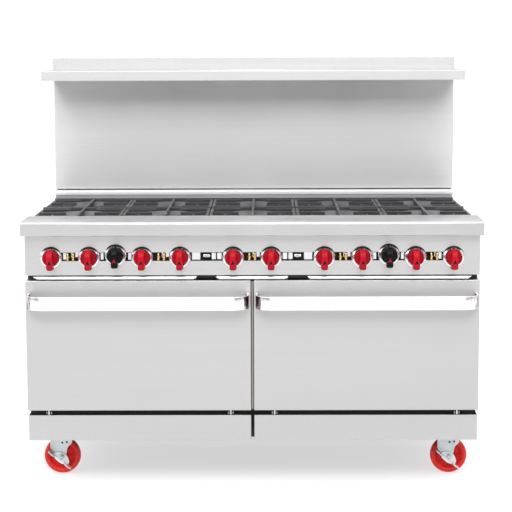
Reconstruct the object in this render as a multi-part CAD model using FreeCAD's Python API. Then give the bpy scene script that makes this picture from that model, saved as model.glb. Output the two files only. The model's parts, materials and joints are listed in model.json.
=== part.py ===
import FreeCAD, Part
import math
import os

# A ten-burner, two-oven restaurant gas range with a high shelf, in millimetres.
# +Z is up, +X is to the user's right, and the user stands on the -Y side.
# The origin is on the floor, under the centre of the range's bounding box.

Vector = FreeCAD.Vector

# Overall size
BODY_WIDTH = 1524.0
OVERALL_DEPTH = 877.0
OVERALL_HEIGHT = 1435.0
BODY_BASE = 152.4
HANDLE_REACH = 62.0
HALF = BODY_WIDTH / 2
REAR = OVERALL_DEPTH / 2
FACE = HANDLE_REACH - OVERALL_DEPTH / 2
SHEET = 1.5
BEND = 2.6
CLEAR = 0.3

# Cooktop
COLUMN_PITCH = 304.8
COLUMNS = [COLUMN_PITCH * n for n in (-2, -1, 0, 1, 2)]
ROW_NAMES = ("front", "rear")
LEDGE_REACH = 40.0
LEDGE_DEPTH = 180.0
LEDGE_HALF = 769.0
LEDGE_TOP = 907.0
LEDGE_BOTTOM = 860.0
LEDGE_SHEET = 2.0
LEDGE_REAR = FACE - LEDGE_REACH + LEDGE_DEPTH
ROWS = [LEDGE_REAR + COLUMN_PITCH * (n + 0.5) for n in (0, 1)]
GRATE_SIZE = 303.0
GRATE_TOP = 903.0
GRATE_DEPTH = 25.0
GRATE_BAR = 12.0
GRATE_SIDE_DROP = 3.0
FINGER_PITCH = COLUMN_PITCH / 3
RAIL_TOP = GRATE_TOP - GRATE_DEPTH - CLEAR
RAIL_DEPTH = 18.7
BURNER_AXIS = 783.5
BURNER_TOP = 873.0

# Front
DOOR_BOTTOM = 259.5
DOOR_TOP = 705.0
DOOR_GAP = 9.0
DOOR_SHELL = 38.0
DOOR_DEPTH = 55.0
DOOR_SHEET = 1.2
HINGE_Y = FACE + 20.0
HINGE_Z = 248.0
HINGE_INSET = 70.0
HINGE_PIN = 5.0
PIN_CLEAR = 0.05
HANDLE_Z = 636.0
HANDLE_HEIGHT = 45.0
HANDLE_THICK = 7.0
HANDLE_BEND = 48.0
HANDLE_INSET = 6.0
PANEL_BOTTOM = 722.5
PANEL_DEPTH = 60.0
SLOT = (771.5, 800.5)
KNOB_Z = BURNER_AXIS
KNOB_OFFSET = 63.5
KNOB_RADIUS = 27.0
KNOB_STAND = 10.0
THERMOSTAT_X = 1.5 * COLUMN_PITCH
THERMOSTAT_Z = KNOB_Z + 8
THERMOSTAT_STAND = 17.0
STEM = 4.0
KICK_TOP = 239.5
KICK_BACK = 16.0
TRAY_BOTTOM = 706.3
TRAY_TOP = 718.5
TRAY_FRONT = FACE + 22

# Oven
OVEN_WIDTH = 673.0
OVEN_DEPTH = 560.0
OVEN_FLOOR = 300.0
OVEN_CEILING = 656.0
OVEN_CENTRE = 383.0
OVEN_FRONT = FACE + PANEL_DEPTH
RACK_Z = 462.0

# Backguard and shelf
GUARD_FRONT = FACE + 775.0
GUARD_FOOT = 937.0
RISER_TOP = 933.0
SHELF_HALF = 769.0
SHELF_TOP = 1393.0
SHELF_DEPTH = 305.0
SHELF_LIP = 35.0

# Casters
WHEEL_RADIUS = 63.5
WHEEL_WIDTH = 32.0
TRAIL = 7.0
SWIVEL_X = 674.5
SWIVEL_FRONT = -221.0
SWIVEL_REAR = 300.0
AXLE = 5.0
KINGPIN = 6.0
PLATE_THICK = 4.0
CROWN_DROP = 15.0
CROWN_THICK = 7.0
BRAKE_LEAN = -38.5
PEDAL_WIDTH = 26.0


def box(x, y, z):
    """A block between two X, two Y and two Z values."""
    size = (x[1] - x[0], y[1] - y[0], z[1] - z[0])
    return Part.makeBox(size[0], size[1], size[2], Vector(x[0], y[0], z[0]))


def grow(span, low, high):
    """A span moved outwards by low and high."""
    return (span[0] - low, span[1] + high)


def bent(spans, open_faces, radius):
    """A block whose edges between two closed faces are rounded."""
    shape = box(*spans)
    closed = []
    for axis, name in enumerate("xyz"):
        for side, sign in enumerate("-+"):
            if sign + name not in open_faces:
                closed.append((axis, spans[axis][side]))
    folds = [
        edge for edge in shape.Edges
        if sum(abs(edge.CenterOfMass[axis] - place) < 1e-6 for axis, place in closed) == 2
    ]
    return shape.makeFillet(radius, folds)


def pan(x, y, z, open_faces, wall, bend=0):
    """A sheet box with the named faces left open, such as '+y-z', and its bends' outer radius."""
    step = {face: -wall for face in ("-x", "+x", "-y", "+y", "-z", "+z")}
    for place in range(0, len(open_faces), 2):
        step[open_faces[place:place + 2]] = wall
    inner = (
        grow(x, step["-x"], step["+x"]),
        grow(y, step["-y"], step["+y"]),
        grow(z, step["-z"], step["+z"]),
    )
    if bend:
        return bent((x, y, z), open_faces, bend).cut(bent(inner, open_faces, bend - wall))
    return box(x, y, z).cut(box(*inner))


def rod(radius, start, end):
    """A round bar from one point to another."""
    axis = Vector(*end) - Vector(*start)
    return Part.makeCylinder(radius, axis.Length, Vector(*start), axis)


def prism(points, start, depth, plane):
    """An outline extruded along the axis that is normal to its plane."""
    place = {
        "xy": lambda a, b: Vector(a, b, start),
        "xz": lambda a, b: Vector(a, start, b),
        "yz": lambda a, b: Vector(start, a, b),
    }[plane]
    along = {"xy": Vector(0, 0, depth), "xz": Vector(0, depth, 0), "yz": Vector(depth, 0, 0)}[plane]
    corners = [place(a, b) for a, b in points]
    return Part.Face(Part.makePolygon(corners + corners[:1])).extrude(along)


def turned(profile, centre, axis):
    """A ring turned about an axis from (radius, height) points."""
    corners = [Vector(radius, 0, height) for radius, height in profile]
    face = Part.Face(Part.makePolygon(corners + corners[:1]))
    ring = face.revolve(Vector(0, 0, 0), Vector(0, 0, 1), 360)
    ring.Placement = FreeCAD.Placement(
        Vector(*centre), FreeCAD.Rotation(Vector(0, 0, 1), Vector(*axis))
    )
    return ring


def fuse(shapes):
    """One solid from several that overlap."""
    return shapes[0].fuse(shapes[1:]).removeSplitter()


def mirror(shape):
    """The same shape on the other side of the range."""
    return shape.mirror(Vector(0, 0, 0), Vector(1, 0, 0))


def both(shapes):
    """Shapes with their mirror images."""
    return shapes + [mirror(shape) for shape in shapes]


def edges_along(shape, direction, test):
    """The straight edges that run one way and whose middle passes a test."""
    found = []
    for edge in shape.Edges:
        run = edge.Vertexes[-1].Point - edge.Vertexes[0].Point
        if run.Length > 1 and abs(abs(run.normalize().dot(direction)) - 1) < 1e-6:
            if test(edge.CenterOfMass):
                found.append(edge)
    return found


def save(name, shapes):
    """Write one node, whose pieces stay separate solids."""
    shape = shapes[0] if len(shapes) == 1 else Part.makeCompound(shapes)
    shape.exportStep(f"parts/{name}.step")


def knob_places():
    """The burner knobs' centres, left to right."""
    return [x + side * KNOB_OFFSET for x in COLUMNS for side in (-1, 1)]


def caster_places():
    """Each caster's name and swivel axis."""
    return [
        (f"{row}_{side}", sign * SWIVEL_X, y)
        for row, y in (("front", SWIVEL_FRONT), ("rear", SWIVEL_REAR))
        for side, sign in (("left", -1), ("right", 1))
    ]


def hinge_places():
    """The middle of each hinge, on both doors."""
    inner = DOOR_GAP / 2 + HINGE_INSET
    outer = HALF - HINGE_INSET
    return [-outer, -inner, inner, outer]


# ---------------------------------------------------------------- chassis
FRAME_FRONT = OVEN_FRONT
FRAME_PLATE = 3.0
POST = 30.0
FRAME_REAR = REAR - 29.5
CHANNEL_TOP = BODY_BASE + POST + 8
TRAY_REAR = 360.0
CASTER_CHANNEL = 52.0
RAIL_HALF = HALF - 25
GUIDE = (124.0, 182.0)


def base_frame():
    """The bottom rails and the channels that the casters bolt to."""
    level = (BODY_BASE, CHANNEL_TOP)
    front = (FRAME_FRONT, FRAME_FRONT + POST)
    rear = (FRAME_REAR - POST, FRAME_REAR)
    middle = (front[1], rear[0])
    outer = (HALF - 35, HALF - 5)
    channel = pan((SWIVEL_X - CASTER_CHANNEL, SWIVEL_X + CASTER_CHANNEL), middle, level, "-y+y+z", 3)
    for name, x, y in caster_places():
        channel = channel.cut(bolt_holes(abs(x), y))
        channel = channel.cut(rod(KINGPIN + 5, (abs(x), y, BODY_BASE - 1), (abs(x), y, BODY_BASE + 4)))
    bars = [
        pan((-HALF + 5, HALF - 5), front, level, "-x+x", 2),
        pan((-HALF + 5, HALF - 5), rear, level, "-x+x", 2),
        pan((-POST / 2, POST / 2), middle, level, "-y+y", 2),
    ]
    return bars + both([channel, pan(outer, middle, level, "-y+y", 2)])


def posts():
    """The upright tubes at the corners and between the ovens."""
    outer = (HALF - 35, HALF - 5)
    front = (FRAME_FRONT, FRAME_FRONT + POST)
    rear = (FRAME_REAR - POST, FRAME_REAR)
    corner = both([
        pan(outer, front, (CHANNEL_TOP, LEDGE_BOTTOM - 1), "-z+z", 2),
        pan(outer, rear, (CHANNEL_TOP, RAIL_TOP - 2), "-z+z", 2),
    ])
    header = (TRAY_BOTTOM - POST - CLEAR, TRAY_BOTTOM - CLEAR)
    middle = pan((-POST / 2, POST / 2), front, (CHANNEL_TOP, header[0]), "-z+z", 2)
    span = (-HALF + 35.5, HALF - 35.5)
    cross = [pan(span, y, header, "-x+x", 2) for y in (front, (TRAY_REAR - 25, TRAY_REAR + 5))]
    return corner + [middle] + cross


def face_frame():
    """The flat frame that the doors close against."""
    y = (FRAME_FRONT - FRAME_PLATE, FRAME_FRONT)
    inner = OVEN_CENTRE - OVEN_WIDTH / 2
    outer = OVEN_CENTRE + OVEN_WIDTH / 2
    upright = (OVEN_FLOOR - 1, OVEN_CEILING + 1)
    return both([box((outer, HALF - 5), y, upright)]) + [
        box((-inner, inner), y, upright),
        box((-HALF + 5, HALF - 5), y, (upright[1], 700)),
        box((-HALF + 5, HALF - 5), y, (CHANNEL_TOP, upright[0])),
    ]


def hinge_lugs():
    """Two ears at each hinge, bored for the door's hinge pin."""
    lugs = []
    back = FRAME_FRONT - FRAME_PLATE
    low = HINGE_Z - 8
    for centre in hinge_places():
        for side in (-1, 1):
            x = centre + side * 5
            start = x - 2
            plate = fuse([
                box((start, start + 4), (HINGE_Y, back), (low, HINGE_Z + 8)),
                rod(8, (start, HINGE_Y, HINGE_Z), (start + 4, HINGE_Y, HINGE_Z)),
            ])
            bore = rod(HINGE_PIN + PIN_CLEAR, (start - 1, HINGE_Y, HINGE_Z), (start + 5, HINGE_Y, HINGE_Z))
            lugs.append(plate.cut(bore))
    return lugs


def tray_guides():
    """The blocks between the crumb trays that keep them straight."""
    low = TRAY_BOTTOM - CLEAR
    back = box(GUIDE, (FRAME_FRONT, TRAY_REAR + 5), (low, PANEL_BOTTOM - 1.5))
    nose = box(GUIDE, (FACE + 24, FRAME_FRONT + 1), (low + 3, PANEL_BOTTOM - 1.5))
    return both([fuse([back, nose])])


def grate_rails():
    """The bars that the grates rest on."""
    z = (RAIL_TOP - RAIL_DEPTH, RAIL_TOP)
    seam = LEDGE_REAR + COLUMN_PITCH
    across = [(LEDGE_REAR + 0.5, LEDGE_REAR + 12.5), (seam - 12, seam + 12)]
    across.append((seam + COLUMN_PITCH - 13, seam + COLUMN_PITCH - 0.5))
    bars = [pan((-RAIL_HALF, RAIL_HALF), y, z, "-x+x-z", 2) for y in across]
    for x in COLUMNS[:-1]:
        line = x + COLUMN_PITCH / 2
        for near, far in zip(across[:-1], across[1:]):
            bars.append(pan((line - 12, line + 12), (near[1], far[0]), z, "-y+y-z", 2))
    return bars


def burner_rests():
    """Flat bars under the burner tubes and under the oven burners."""
    x = (-HALF + 5, HALF - 5)
    top = BURNER_AXIS - 16 - CLEAR
    bars = [box(x, (y - 15, y + 15), (top - SHEET, top)) for y in ROWS]
    return bars + [box(x, (y - 12, y + 12), (217.5, 220.5)) for y in (-200, 180)]


# ---------------------------------------------------------------- skins
PIPE_X = 700.0
MANIFOLD_Y = FACE + 46.5
MANIFOLD_Z = 752.0
INLET_RADIUS = 13.35
INLET_LENGTH = 28.0
SKIN_REAR = REAR - 28.5
POST_X = (720.0, 758.0)


def rear_screws():
    """Where screws hold the rear panel."""
    return [(x, z) for x in (-700, -350, 0, 350, 700) for z in (175, 520, 860)]


def side_panels():
    """Side sheets with a top flange that carries the outer grates."""
    y = (FRAME_FRONT + 0.5, SKIN_REAR - 0.5)
    skin = box((HALF - SHEET, HALF), y, (BODY_BASE, RAIL_TOP))
    flange = box(
        (HALF - 24, HALF),
        (LEDGE_REAR + 14, LEDGE_REAR + 2 * COLUMN_PITCH - 14),
        (RAIL_TOP - SHEET, RAIL_TOP),
    )
    return both([fuse([skin, flange])])


def rear_panel():
    """The back sheet, with a clearance hole for the gas pipe."""
    y = (SKIN_REAR, SKIN_REAR + SHEET)
    sheet = box((-HALF, HALF), y, (BODY_BASE, RAIL_TOP))
    sheet = sheet.cut(rod(20, (PIPE_X, y[0] - 1, MANIFOLD_Z), (PIPE_X, y[1] + 1, MANIFOLD_Z)))
    for x, z in rear_screws():
        sheet = sheet.cut(rod(2.2, (x, y[0] - 1, z), (x, y[1] + 1, z)))
    return [sheet]


def front_ledge():
    """The landing ledge: a hollow folded sheet with a rolled nose and closed ends."""
    x = (-LEDGE_HALF, LEDGE_HALF)
    y = (FACE - LEDGE_REACH, LEDGE_REAR)
    z = (LEDGE_BOTTOM, LEDGE_TOP)
    shape = box(x, y, z)
    across = Vector(1, 0, 0)
    nose = edges_along(shape, across, lambda p: p.y < y[0] + 1)
    shape = shape.makeFillet(9, [edge for edge in nose if edge.CenterOfMass.z > z[0] + 1])
    nose = edges_along(shape, across, lambda p: p.y < y[0] + 1 and p.z < z[0] + 1)
    shape = shape.makeFillet(4, nose)
    wall = LEDGE_SHEET
    inside = box(grow(x, -wall, -wall), grow(y, -wall, -wall), grow(z, -wall, -wall))
    nose = edges_along(inside, across, lambda p: p.y < y[0] + wall + 1 and p.z > z[0] + wall + 1)
    inside = inside.makeFillet(7, nose)
    below = box((-HALF - 0.5, HALF + 0.5), (FACE + 0.5, y[1] + 1), (z[0] - 1, z[0] + wall + 1))
    behind = box((-HALF - 0.5, HALF + 0.5), (y[1] - wall - 1, y[1] + 1), (z[0] - 1, RAIL_TOP + 0.5))
    return [shape.cut(inside).cut(below).cut(behind)]


def control_panel():
    """The valve cover, slotted for the stems and the pilot valves."""
    x = (-HALF + 0.5, HALF - 0.5)
    shape = pan(x, (FACE, FACE + PANEL_DEPTH), (PANEL_BOTTOM, LEDGE_BOTTOM), "+y+z", SHEET, BEND)
    end = knob_places()[-1] + 14
    return [shape.cut(box((-end, end), (FACE - 1, FACE + SHEET + 1), SLOT))]


def kick_panels():
    """The removable covers below the doors."""
    y = (FACE + KICK_BACK, FRAME_FRONT - FRAME_PLATE - 0.5)
    cover = pan((5, HALF - 0.5), y, (BODY_BASE, KICK_TOP), "+y-z+z", DOOR_SHEET, BEND)
    return both([cover])


def backguard():
    """The flue riser, the backguard's front and rear sheets and its two posts."""
    riser_y = LEDGE_REAR + 2 * COLUMN_PITCH + 0.6
    riser = fuse([
        box((-HALF + 2, HALF - 2), (riser_y + 2.4, riser_y + 3.9), (862, RISER_TOP - 15)),
        box((-HALF, HALF), (riser_y, riser_y + 3.9), (RISER_TOP - 16, RISER_TOP)),
        box((-HALF, HALF), (riser_y, SKIN_REAR + SHEET), (RISER_TOP - SHEET, RISER_TOP)),
    ])
    y = (GUARD_FRONT, REAR - 2)
    top = SHELF_TOP - 2
    front = pan((-HALF, HALF), y, (GUARD_FOOT, top), "+y-z+z", SHEET, BEND)
    rear = box((-HALF + 2, HALF - 2), (y[1] - SHEET, y[1]), (900, top))
    post = pan(POST_X, (SKIN_REAR + SHEET, y[1] - SHEET), (640, top), "-z+z", 2)
    return [riser, front, rear] + both([post])


def high_shelf():
    """The shelf, with its front and end lips and the upstand at the rear."""
    x = (-SHELF_HALF, SHELF_HALF)
    y = (REAR - SHELF_DEPTH, REAR)
    shelf = pan(x, y, (SHELF_TOP - SHELF_LIP, SHELF_TOP), "-z", SHEET, BEND)
    upstand = box(x, (REAR - SHEET, REAR), (SHELF_TOP - BEND - 1, OVERALL_HEIGHT))
    brace_z = (SHELF_TOP - 25, SHELF_TOP - SHEET)
    brace = pan((360, 400), (y[0] + 5, GUARD_FRONT - 1), brace_z, "-y+y-z", SHEET)
    return [fuse([shelf, upstand])] + both([brace])


# ---------------------------------------------------------------- ovens
def oven_liners():
    """Floor, ceiling, back and sides of each oven, as separate plates."""
    wall = SHEET
    x = (OVEN_CENTRE - OVEN_WIDTH / 2, OVEN_CENTRE + OVEN_WIDTH / 2)
    y = (OVEN_FRONT, OVEN_FRONT + OVEN_DEPTH)
    z = (OVEN_FLOOR, OVEN_CEILING)
    wide = grow(x, wall, wall)
    return both([
        box(wide, grow(y, 0, wall), (z[0] - wall, z[0])),
        box(wide, grow(y, 0, wall), (z[1], z[1] + wall)),
        box(wide, (y[1], y[1] + wall), z),
        box((wide[0], x[0]), y, z),
        box((x[1], wide[1]), y, z),
    ])


def rack_guide(wall_x, side):
    """A wall sheet with five ledges for the rack; side is the way they point."""
    y = (OVEN_FRONT + 20, OVEN_FRONT + OVEN_DEPTH - 10)
    back = sorted((wall_x, wall_x + side * SHEET))
    ledge = sorted((wall_x, wall_x + side * 13))
    pieces = [box(back, y, (OVEN_FLOOR + 40, OVEN_CEILING - 60))]
    for level in range(-2, 3):
        top = RACK_Z - CLEAR - 7 + level * 52
        pieces.append(box(ledge, y, (top - 3, top)))
    return fuse(pieces)


def oven_rack_guides():
    """The rack guides on both walls of both ovens."""
    inner = OVEN_CENTRE - OVEN_WIDTH / 2
    outer = OVEN_CENTRE + OVEN_WIDTH / 2
    return both([rack_guide(inner, 1), rack_guide(outer, -1)])


def oven_insulation():
    """Batts round the liners."""
    y = (-280, 246)
    z = (OVEN_FLOOR, OVEN_CEILING)
    edge = (OVEN_CENTRE - OVEN_WIDTH / 2 - 2, OVEN_CENTRE + OVEN_WIDTH / 2 + 2)
    back = (OVEN_FRONT + OVEN_DEPTH + 2, OVEN_FRONT + OVEN_DEPTH + 34)
    return both([
        box((edge[1], HALF - 4), y, z),
        box(edge, back, z),
        box((4, HALF - 4), (-280, 330), (z[1] + 2, z[1] + 18)),
    ]) + [box((-edge[0], edge[0]), y, z)]


def oven_rack(sign):
    """A wire rack: a rod frame, cross rods and close wires."""
    centre = sign * OVEN_CENTRE
    half = OVEN_WIDTH / 2 - 3
    y = (OVEN_FRONT + 26, OVEN_FRONT + OVEN_DEPTH - 20)
    left, right = centre - half + 3.5, centre + half - 3.5
    z = RACK_Z - 3.5
    frame = [rod(3.5, (left, at, z), (right, at, z)) for at in (y[0] + 3.5, y[1] - 3.5)]
    frame += [rod(3.5, (at, y[0] + 3.5, z), (at, y[1] - 3.5, z)) for at in (left, right)]
    corners = [
        Part.makeSphere(3.5, Vector(x, at, z)) for x in (left, right) for at in (y[0] + 3.5, y[1] - 3.5)
    ]
    third = (y[1] - y[0]) / 3
    cross = [rod(3, (left, y[0] + third * n, z), (right, y[0] + third * n, z)) for n in (1, 2)]
    wires = 21
    gap = (right - left) / (wires + 1)
    rods = [
        rod(2, (left + gap * n, y[0] + 3.5, z + 2), (left + gap * n, y[1] - 3.5, z + 2))
        for n in range(1, wires + 1)
    ]
    return [fuse(frame + corners + cross + rods)]


# ---------------------------------------------------------------- doors
def door_span(sign):
    """A door's left and right edges."""
    span = (DOOR_GAP / 2, HALF)
    return span if sign > 0 else (-span[1], -span[0])


def door_hinges(sign):
    """The hinges that belong to one door."""
    return [x for x in hinge_places() if x * sign > 0]


def door_panel(sign):
    """The outer shell: a folded sheet, open at the back, with slots for the hinge arms."""
    y = (FACE, FACE + DOOR_SHELL)
    shell = pan(door_span(sign), y, (DOOR_BOTTOM, DOOR_TOP), "+y", DOOR_SHEET, BEND)
    for x in door_hinges(sign):
        slot = box((x - 4, x + 4), (HINGE_Y - 10, HINGE_Y + 10), (DOOR_BOTTOM - 1, DOOR_BOTTOM + 3))
        shell = shell.cut(slot)
    return [shell]


def hinge_arm(x):
    """A hinge arm with its pin in one piece."""
    return fuse([
        box((x - 2.5, x + 2.5), (HINGE_Y - 8, HINGE_Y + 8), (HINGE_Z, DOOR_BOTTOM + 90)),
        rod(8, (x - 2.5, HINGE_Y, HINGE_Z), (x + 2.5, HINGE_Y, HINGE_Z)),
        rod(HINGE_PIN, (x - 9, HINGE_Y, HINGE_Z), (x + 9, HINGE_Y, HINGE_Z)),
    ])


def door_liner(sign):
    """The inner pan that fills the opening, and the two hinge arms."""
    x = grow(door_span(sign), -9, -9)
    y = (FACE + DOOR_SHELL, FACE + DOOR_DEPTH)
    liner = pan(x, y, (DOOR_BOTTOM + 10, DOOR_TOP - 10), "-y", DOOR_SHEET)
    return [liner] + [hinge_arm(place) for place in door_hinges(sign)]


def handle_end(start, way, front, z):
    """A casting that curves from the end of the bar back to the door."""
    bend = HANDLE_BEND
    thick = HANDLE_THICK
    centre = Vector(start + way * bend, front + bend, z[0])

    def on_arc(radius, turn):
        return centre + Vector(-way * radius * math.cos(turn), -radius * math.sin(turn), 0)

    quarter = math.pi / 2
    foot = [Vector(start, FACE, z[0]), Vector(start + way * thick, FACE, z[0])]
    outer = [on_arc(bend, turn) for turn in (0, quarter / 2, quarter)]
    inner = [on_arc(bend - thick, turn) for turn in (quarter, quarter / 2, 0)]
    edges = [
        Part.LineSegment(foot[0], outer[0]).toShape(),
        Part.Arc(*outer).toShape(),
        Part.LineSegment(outer[2], inner[0]).toShape(),
        Part.Arc(*inner).toShape(),
        Part.LineSegment(inner[2], foot[1]).toShape(),
        Part.LineSegment(foot[1], foot[0]).toShape(),
    ]
    return Part.Face(Part.Wire(edges)).extrude(Vector(0, 0, z[1] - z[0]))


def door_handle(sign):
    """A wide flat bar with a curved casting at each end that returns to the door."""
    x = grow(door_span(sign), -HANDLE_INSET, -HANDLE_INSET)
    z = (HANDLE_Z - HANDLE_HEIGHT / 2, HANDLE_Z + HANDLE_HEIGHT / 2)
    front = FACE - HANDLE_REACH
    bar = box(grow(x, -HANDLE_BEND, -HANDLE_BEND), (front, front + HANDLE_THICK), z)
    return [bar] + [handle_end(start, way, front, z) for start, way in ((x[0], 1), (x[1], -1))]


# ---------------------------------------------------------------- gas
def gas_manifold():
    """The manifold pipe across the front, and its feed pipe to the rear."""
    start = (-PIPE_X, MANIFOLD_Y, MANIFOLD_Z)
    corner = (PIPE_X, MANIFOLD_Y, MANIFOLD_Z)
    inlet = (PIPE_X, REAR - 2.5, MANIFOLD_Z)
    collar = [(PIPE_X, y, MANIFOLD_Z) for y in (inlet[1] - INLET_LENGTH - 12, inlet[1] - INLET_LENGTH)]
    outer = fuse([
        rod(16.7, start, corner),
        Part.makeSphere(18, Vector(*corner)),
        rod(INLET_RADIUS, corner, inlet),
        rod(17, *collar),
    ])
    closed = (start[0] + 4, start[1], start[2])
    mouth = (inlet[0], inlet[1] + 1, inlet[2])
    inner = fuse([rod(13, closed, corner), Part.makeSphere(13, Vector(*corner)), rod(10.5, corner, mouth)])
    return [outer.cut(inner)]


def saddle():
    """The space that the manifold takes, which the valve nipples are cut back from."""
    end = HALF - 5
    return rod(16.75, (-end, MANIFOLD_Y, MANIFOLD_Z), (end, MANIFOLD_Y, MANIFOLD_Z))


def stem_bore(x, z):
    """The bore that a stem turns in."""
    return rod(STEM + PIN_CLEAR, (x, FACE + 18, z), (x, FACE + 29, z))


def burner_valve(x):
    """A plug valve on the manifold, with its orifice hood towards the burner."""
    z = KNOB_Z
    body = fuse([
        box((x - 12, x + 12), (FACE + 31, FACE + 61), (z - 12, z + 12)),
        rod(9, (x, FACE + 19, z), (x, FACE + 32, z)),
        rod(6, (x, FACE + 60, z), (x, FACE + 81, z)),
        rod(7, (x, MANIFOLD_Y, MANIFOLD_Z), (x, MANIFOLD_Y, z - 11)),
    ])
    return body.cut(saddle()).cut(stem_bore(x, z))


def thermostat(x):
    """The oven control, a block with a bonnet for its stem."""
    z = THERMOSTAT_Z
    body = fuse([
        box((x - 24, x + 24), (FACE + 27, FACE + 75), (z - 14, z + 28)),
        rod(9, (x, FACE + 19, z), (x, FACE + 28, z)),
        rod(7, (x, MANIFOLD_Y, MANIFOLD_Z), (x, MANIFOLD_Y, z - 13)),
    ])
    return body.cut(saddle()).cut(stem_bore(x, z))


def pilot_valve(x):
    """A small needle valve whose tip shows through the slot."""
    z = KNOB_Z
    return fuse([
        rod(4, (x, MANIFOLD_Y, MANIFOLD_Z), (x, MANIFOLD_Y, z)),
        rod(5.5, (x, FACE + 14, z), (x, MANIFOLD_Y + 5, z)),
        rod(3.5, (x, FACE + 7, z), (x, FACE + 15, z)),
    ]).cut(saddle())


def burner_valves():
    """Everything that screws into the manifold."""
    valves = [burner_valve(x) for x in knob_places()]
    pilots = [pilot_valve(x + side * 9) for x in COLUMNS for side in (-1, 1)]
    return valves + [thermostat(x) for x in (-THERMOSTAT_X, THERMOSTAT_X)] + pilots


def top_burner(column, row):
    """An open-top burner: a venturi tube, an elbow, a neck and a round head."""
    side = -1 if row == 0 else 1
    x = column + side * KNOB_OFFSET
    y = ROWS[row]
    z = BURNER_AXIS
    mouth = FACE + 75
    bell = Part.makeCone(20, 16, 22, Vector(x, mouth, z), Vector(0, 1, 0))
    outer = [
        bell,
        rod(16, (x, mouth, z), (x, y, z)),
        Part.makeSphere(16, Vector(x, y, z)),
        rod(16, (x, y, z), (column, y, z)),
        Part.makeSphere(16, Vector(column, y, z)),
        rod(18, (column, y, z), (column, y, BURNER_TOP - 30)),
        Part.makeCone(18, 44, 16, Vector(column, y, BURNER_TOP - 36)),
        rod(44, (column, y, BURNER_TOP - 20.5), (column, y, BURNER_TOP - 15)),
    ]
    bore = rod(13, (x, mouth - 1, z), (x, y, z))
    cap = turned(
        [(0, 0), (36, 0), (36, 3), (42, 5), (42, 11), (38, 15), (12, 15), (8, 12), (0, 12)],
        (column, y, BURNER_TOP - 15), (0, 0, 1),
    )
    return [fuse(outer).cut(bore), cap]


def oven_burner(sign):
    """A tube burner under the oven floor, with three cross arms."""
    x = sign * OVEN_CENTRE
    z = 236.0
    pieces = [rod(15, (x, -255, z), (x, 210, z))]
    for y in (-170, 0, 170):
        pieces.append(rod(12, (x - 190, y, z), (x + 190, y, z)))
    return fuse(pieces)


def burners():
    """All the burners."""
    pieces = []
    for column in COLUMNS:
        for row in (0, 1):
            pieces += top_burner(column, row)
    return pieces + [oven_burner(-1), oven_burner(1)]


# ---------------------------------------------------------------- controls
def bezel(x, z):
    """A bright cone-sided ring round a knob, flat on the panel, with a hole for the stem."""
    profile = [(10, 0), (37, 0), (37, 1.5), (30.5, 9), (29, 9), (31.5, 1.5), (10, 1.5)]
    return turned(profile, (x, FACE, z), (0, -1, 0))


def knob_bezels():
    """One ring for each knob."""
    rings = [bezel(x, KNOB_Z) for x in knob_places()]
    return rings + [bezel(x, THERMOSTAT_Z) for x in (-THERMOSTAT_X, THERMOSTAT_X)]


def knob(x, z, stand):
    """A knob that stands off the panel: a hub, a domed disc, a grip bar and the stem."""
    base = FACE - stand
    hub = rod(12, (x, FACE - 3, z), (x, base - 1, z))
    disc = turned(
        [(0, 0), (24.5, 0), (KNOB_RADIUS, 2), (KNOB_RADIUS, 10), (23.5, 14), (0, 16)],
        (x, base, z), (0, -1, 0),
    )
    outline = [(x - 8, z + 29), (x + 8, z + 29), (x + 9, z), (x + 12.5, z - 30), (x + 10, z - 39.5)]
    outline += [(2 * x - a, b) for a, b in reversed(outline[2:])]
    grip = prism(outline, base - 40, 32, "xz")
    shaft = rod(STEM, (x, FACE + 26, z), (x, FACE - 6, z))
    return [fuse([hub, disc, grip, shaft])]


# ---------------------------------------------------------------- loose parts
def grate(column, row):
    """A cast grate: a square frame, a bar over the burner and fingers from each side."""
    y = ROWS[row]
    half = GRATE_SIZE / 2
    z = (GRATE_TOP - GRATE_DEPTH, GRATE_TOP)
    side = (column - half, column + half)
    ends = (y - half, y + half)
    side_z = (z[0], z[1] - GRATE_SIDE_DROP)
    bars = [box((edge, edge + GRATE_BAR), ends, side_z) for edge in (side[0], side[1] - GRATE_BAR)]
    bars += [box(side, (edge, edge + GRATE_BAR), z) for edge in (ends[0], ends[1] - GRATE_BAR)]
    bars.append(box((column - 5, column + 5), ends, (z[0] + 5, z[1])))
    for step in (-1, 0, 1):
        at = y + step * FINGER_PITCH
        for way in (-1, 1):
            reach = 16 if step else 36
            near = column + way * reach
            far = column + way * (half - 2)
            outline = [(near, z[1]), (far, z[1]), (far, z[0] + 3), (near, z[1] - 10)]
            bars.append(prism(outline, at - 5, 10, "xz"))
    return [fuse(bars)]


def crumb_tray(x0, x1, lip0, lip1):
    """A shallow pan, and a pull lip in front whose lower corners taper."""
    tray = pan((x0, x1), (TRAY_FRONT, TRAY_REAR), (TRAY_BOTTOM, TRAY_TOP), "+z", DOOR_SHEET)
    top = PANEL_BOTTOM - 3
    low = TRAY_BOTTOM + 3
    lip = prism([(lip0, top), (lip1, top), (lip1 - 14, low), (lip0 + 14, low)], FACE - 1.5, 2, "xz")
    web = box((lip0 + 14, lip1 - 14), (FACE, TRAY_FRONT + 0.5), (low, low + DOOR_SHEET))
    return [fuse([tray, lip, web])]


# ---------------------------------------------------------------- casters
def bolt_spots(x, y):
    """The four plate bolts round a caster's swivel axis."""
    return [(x + dx, y + dy) for dx in (-38, 38) for dy in (-31, 31)]


def bolt_holes(x, y):
    """The holes for a caster's plate bolts."""
    z = BODY_BASE
    holes = [rod(4.3, (a, b, z - 6), (a, b, z + 6)) for a, b in bolt_spots(x, y)]
    return Part.makeCompound(holes)


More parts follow.
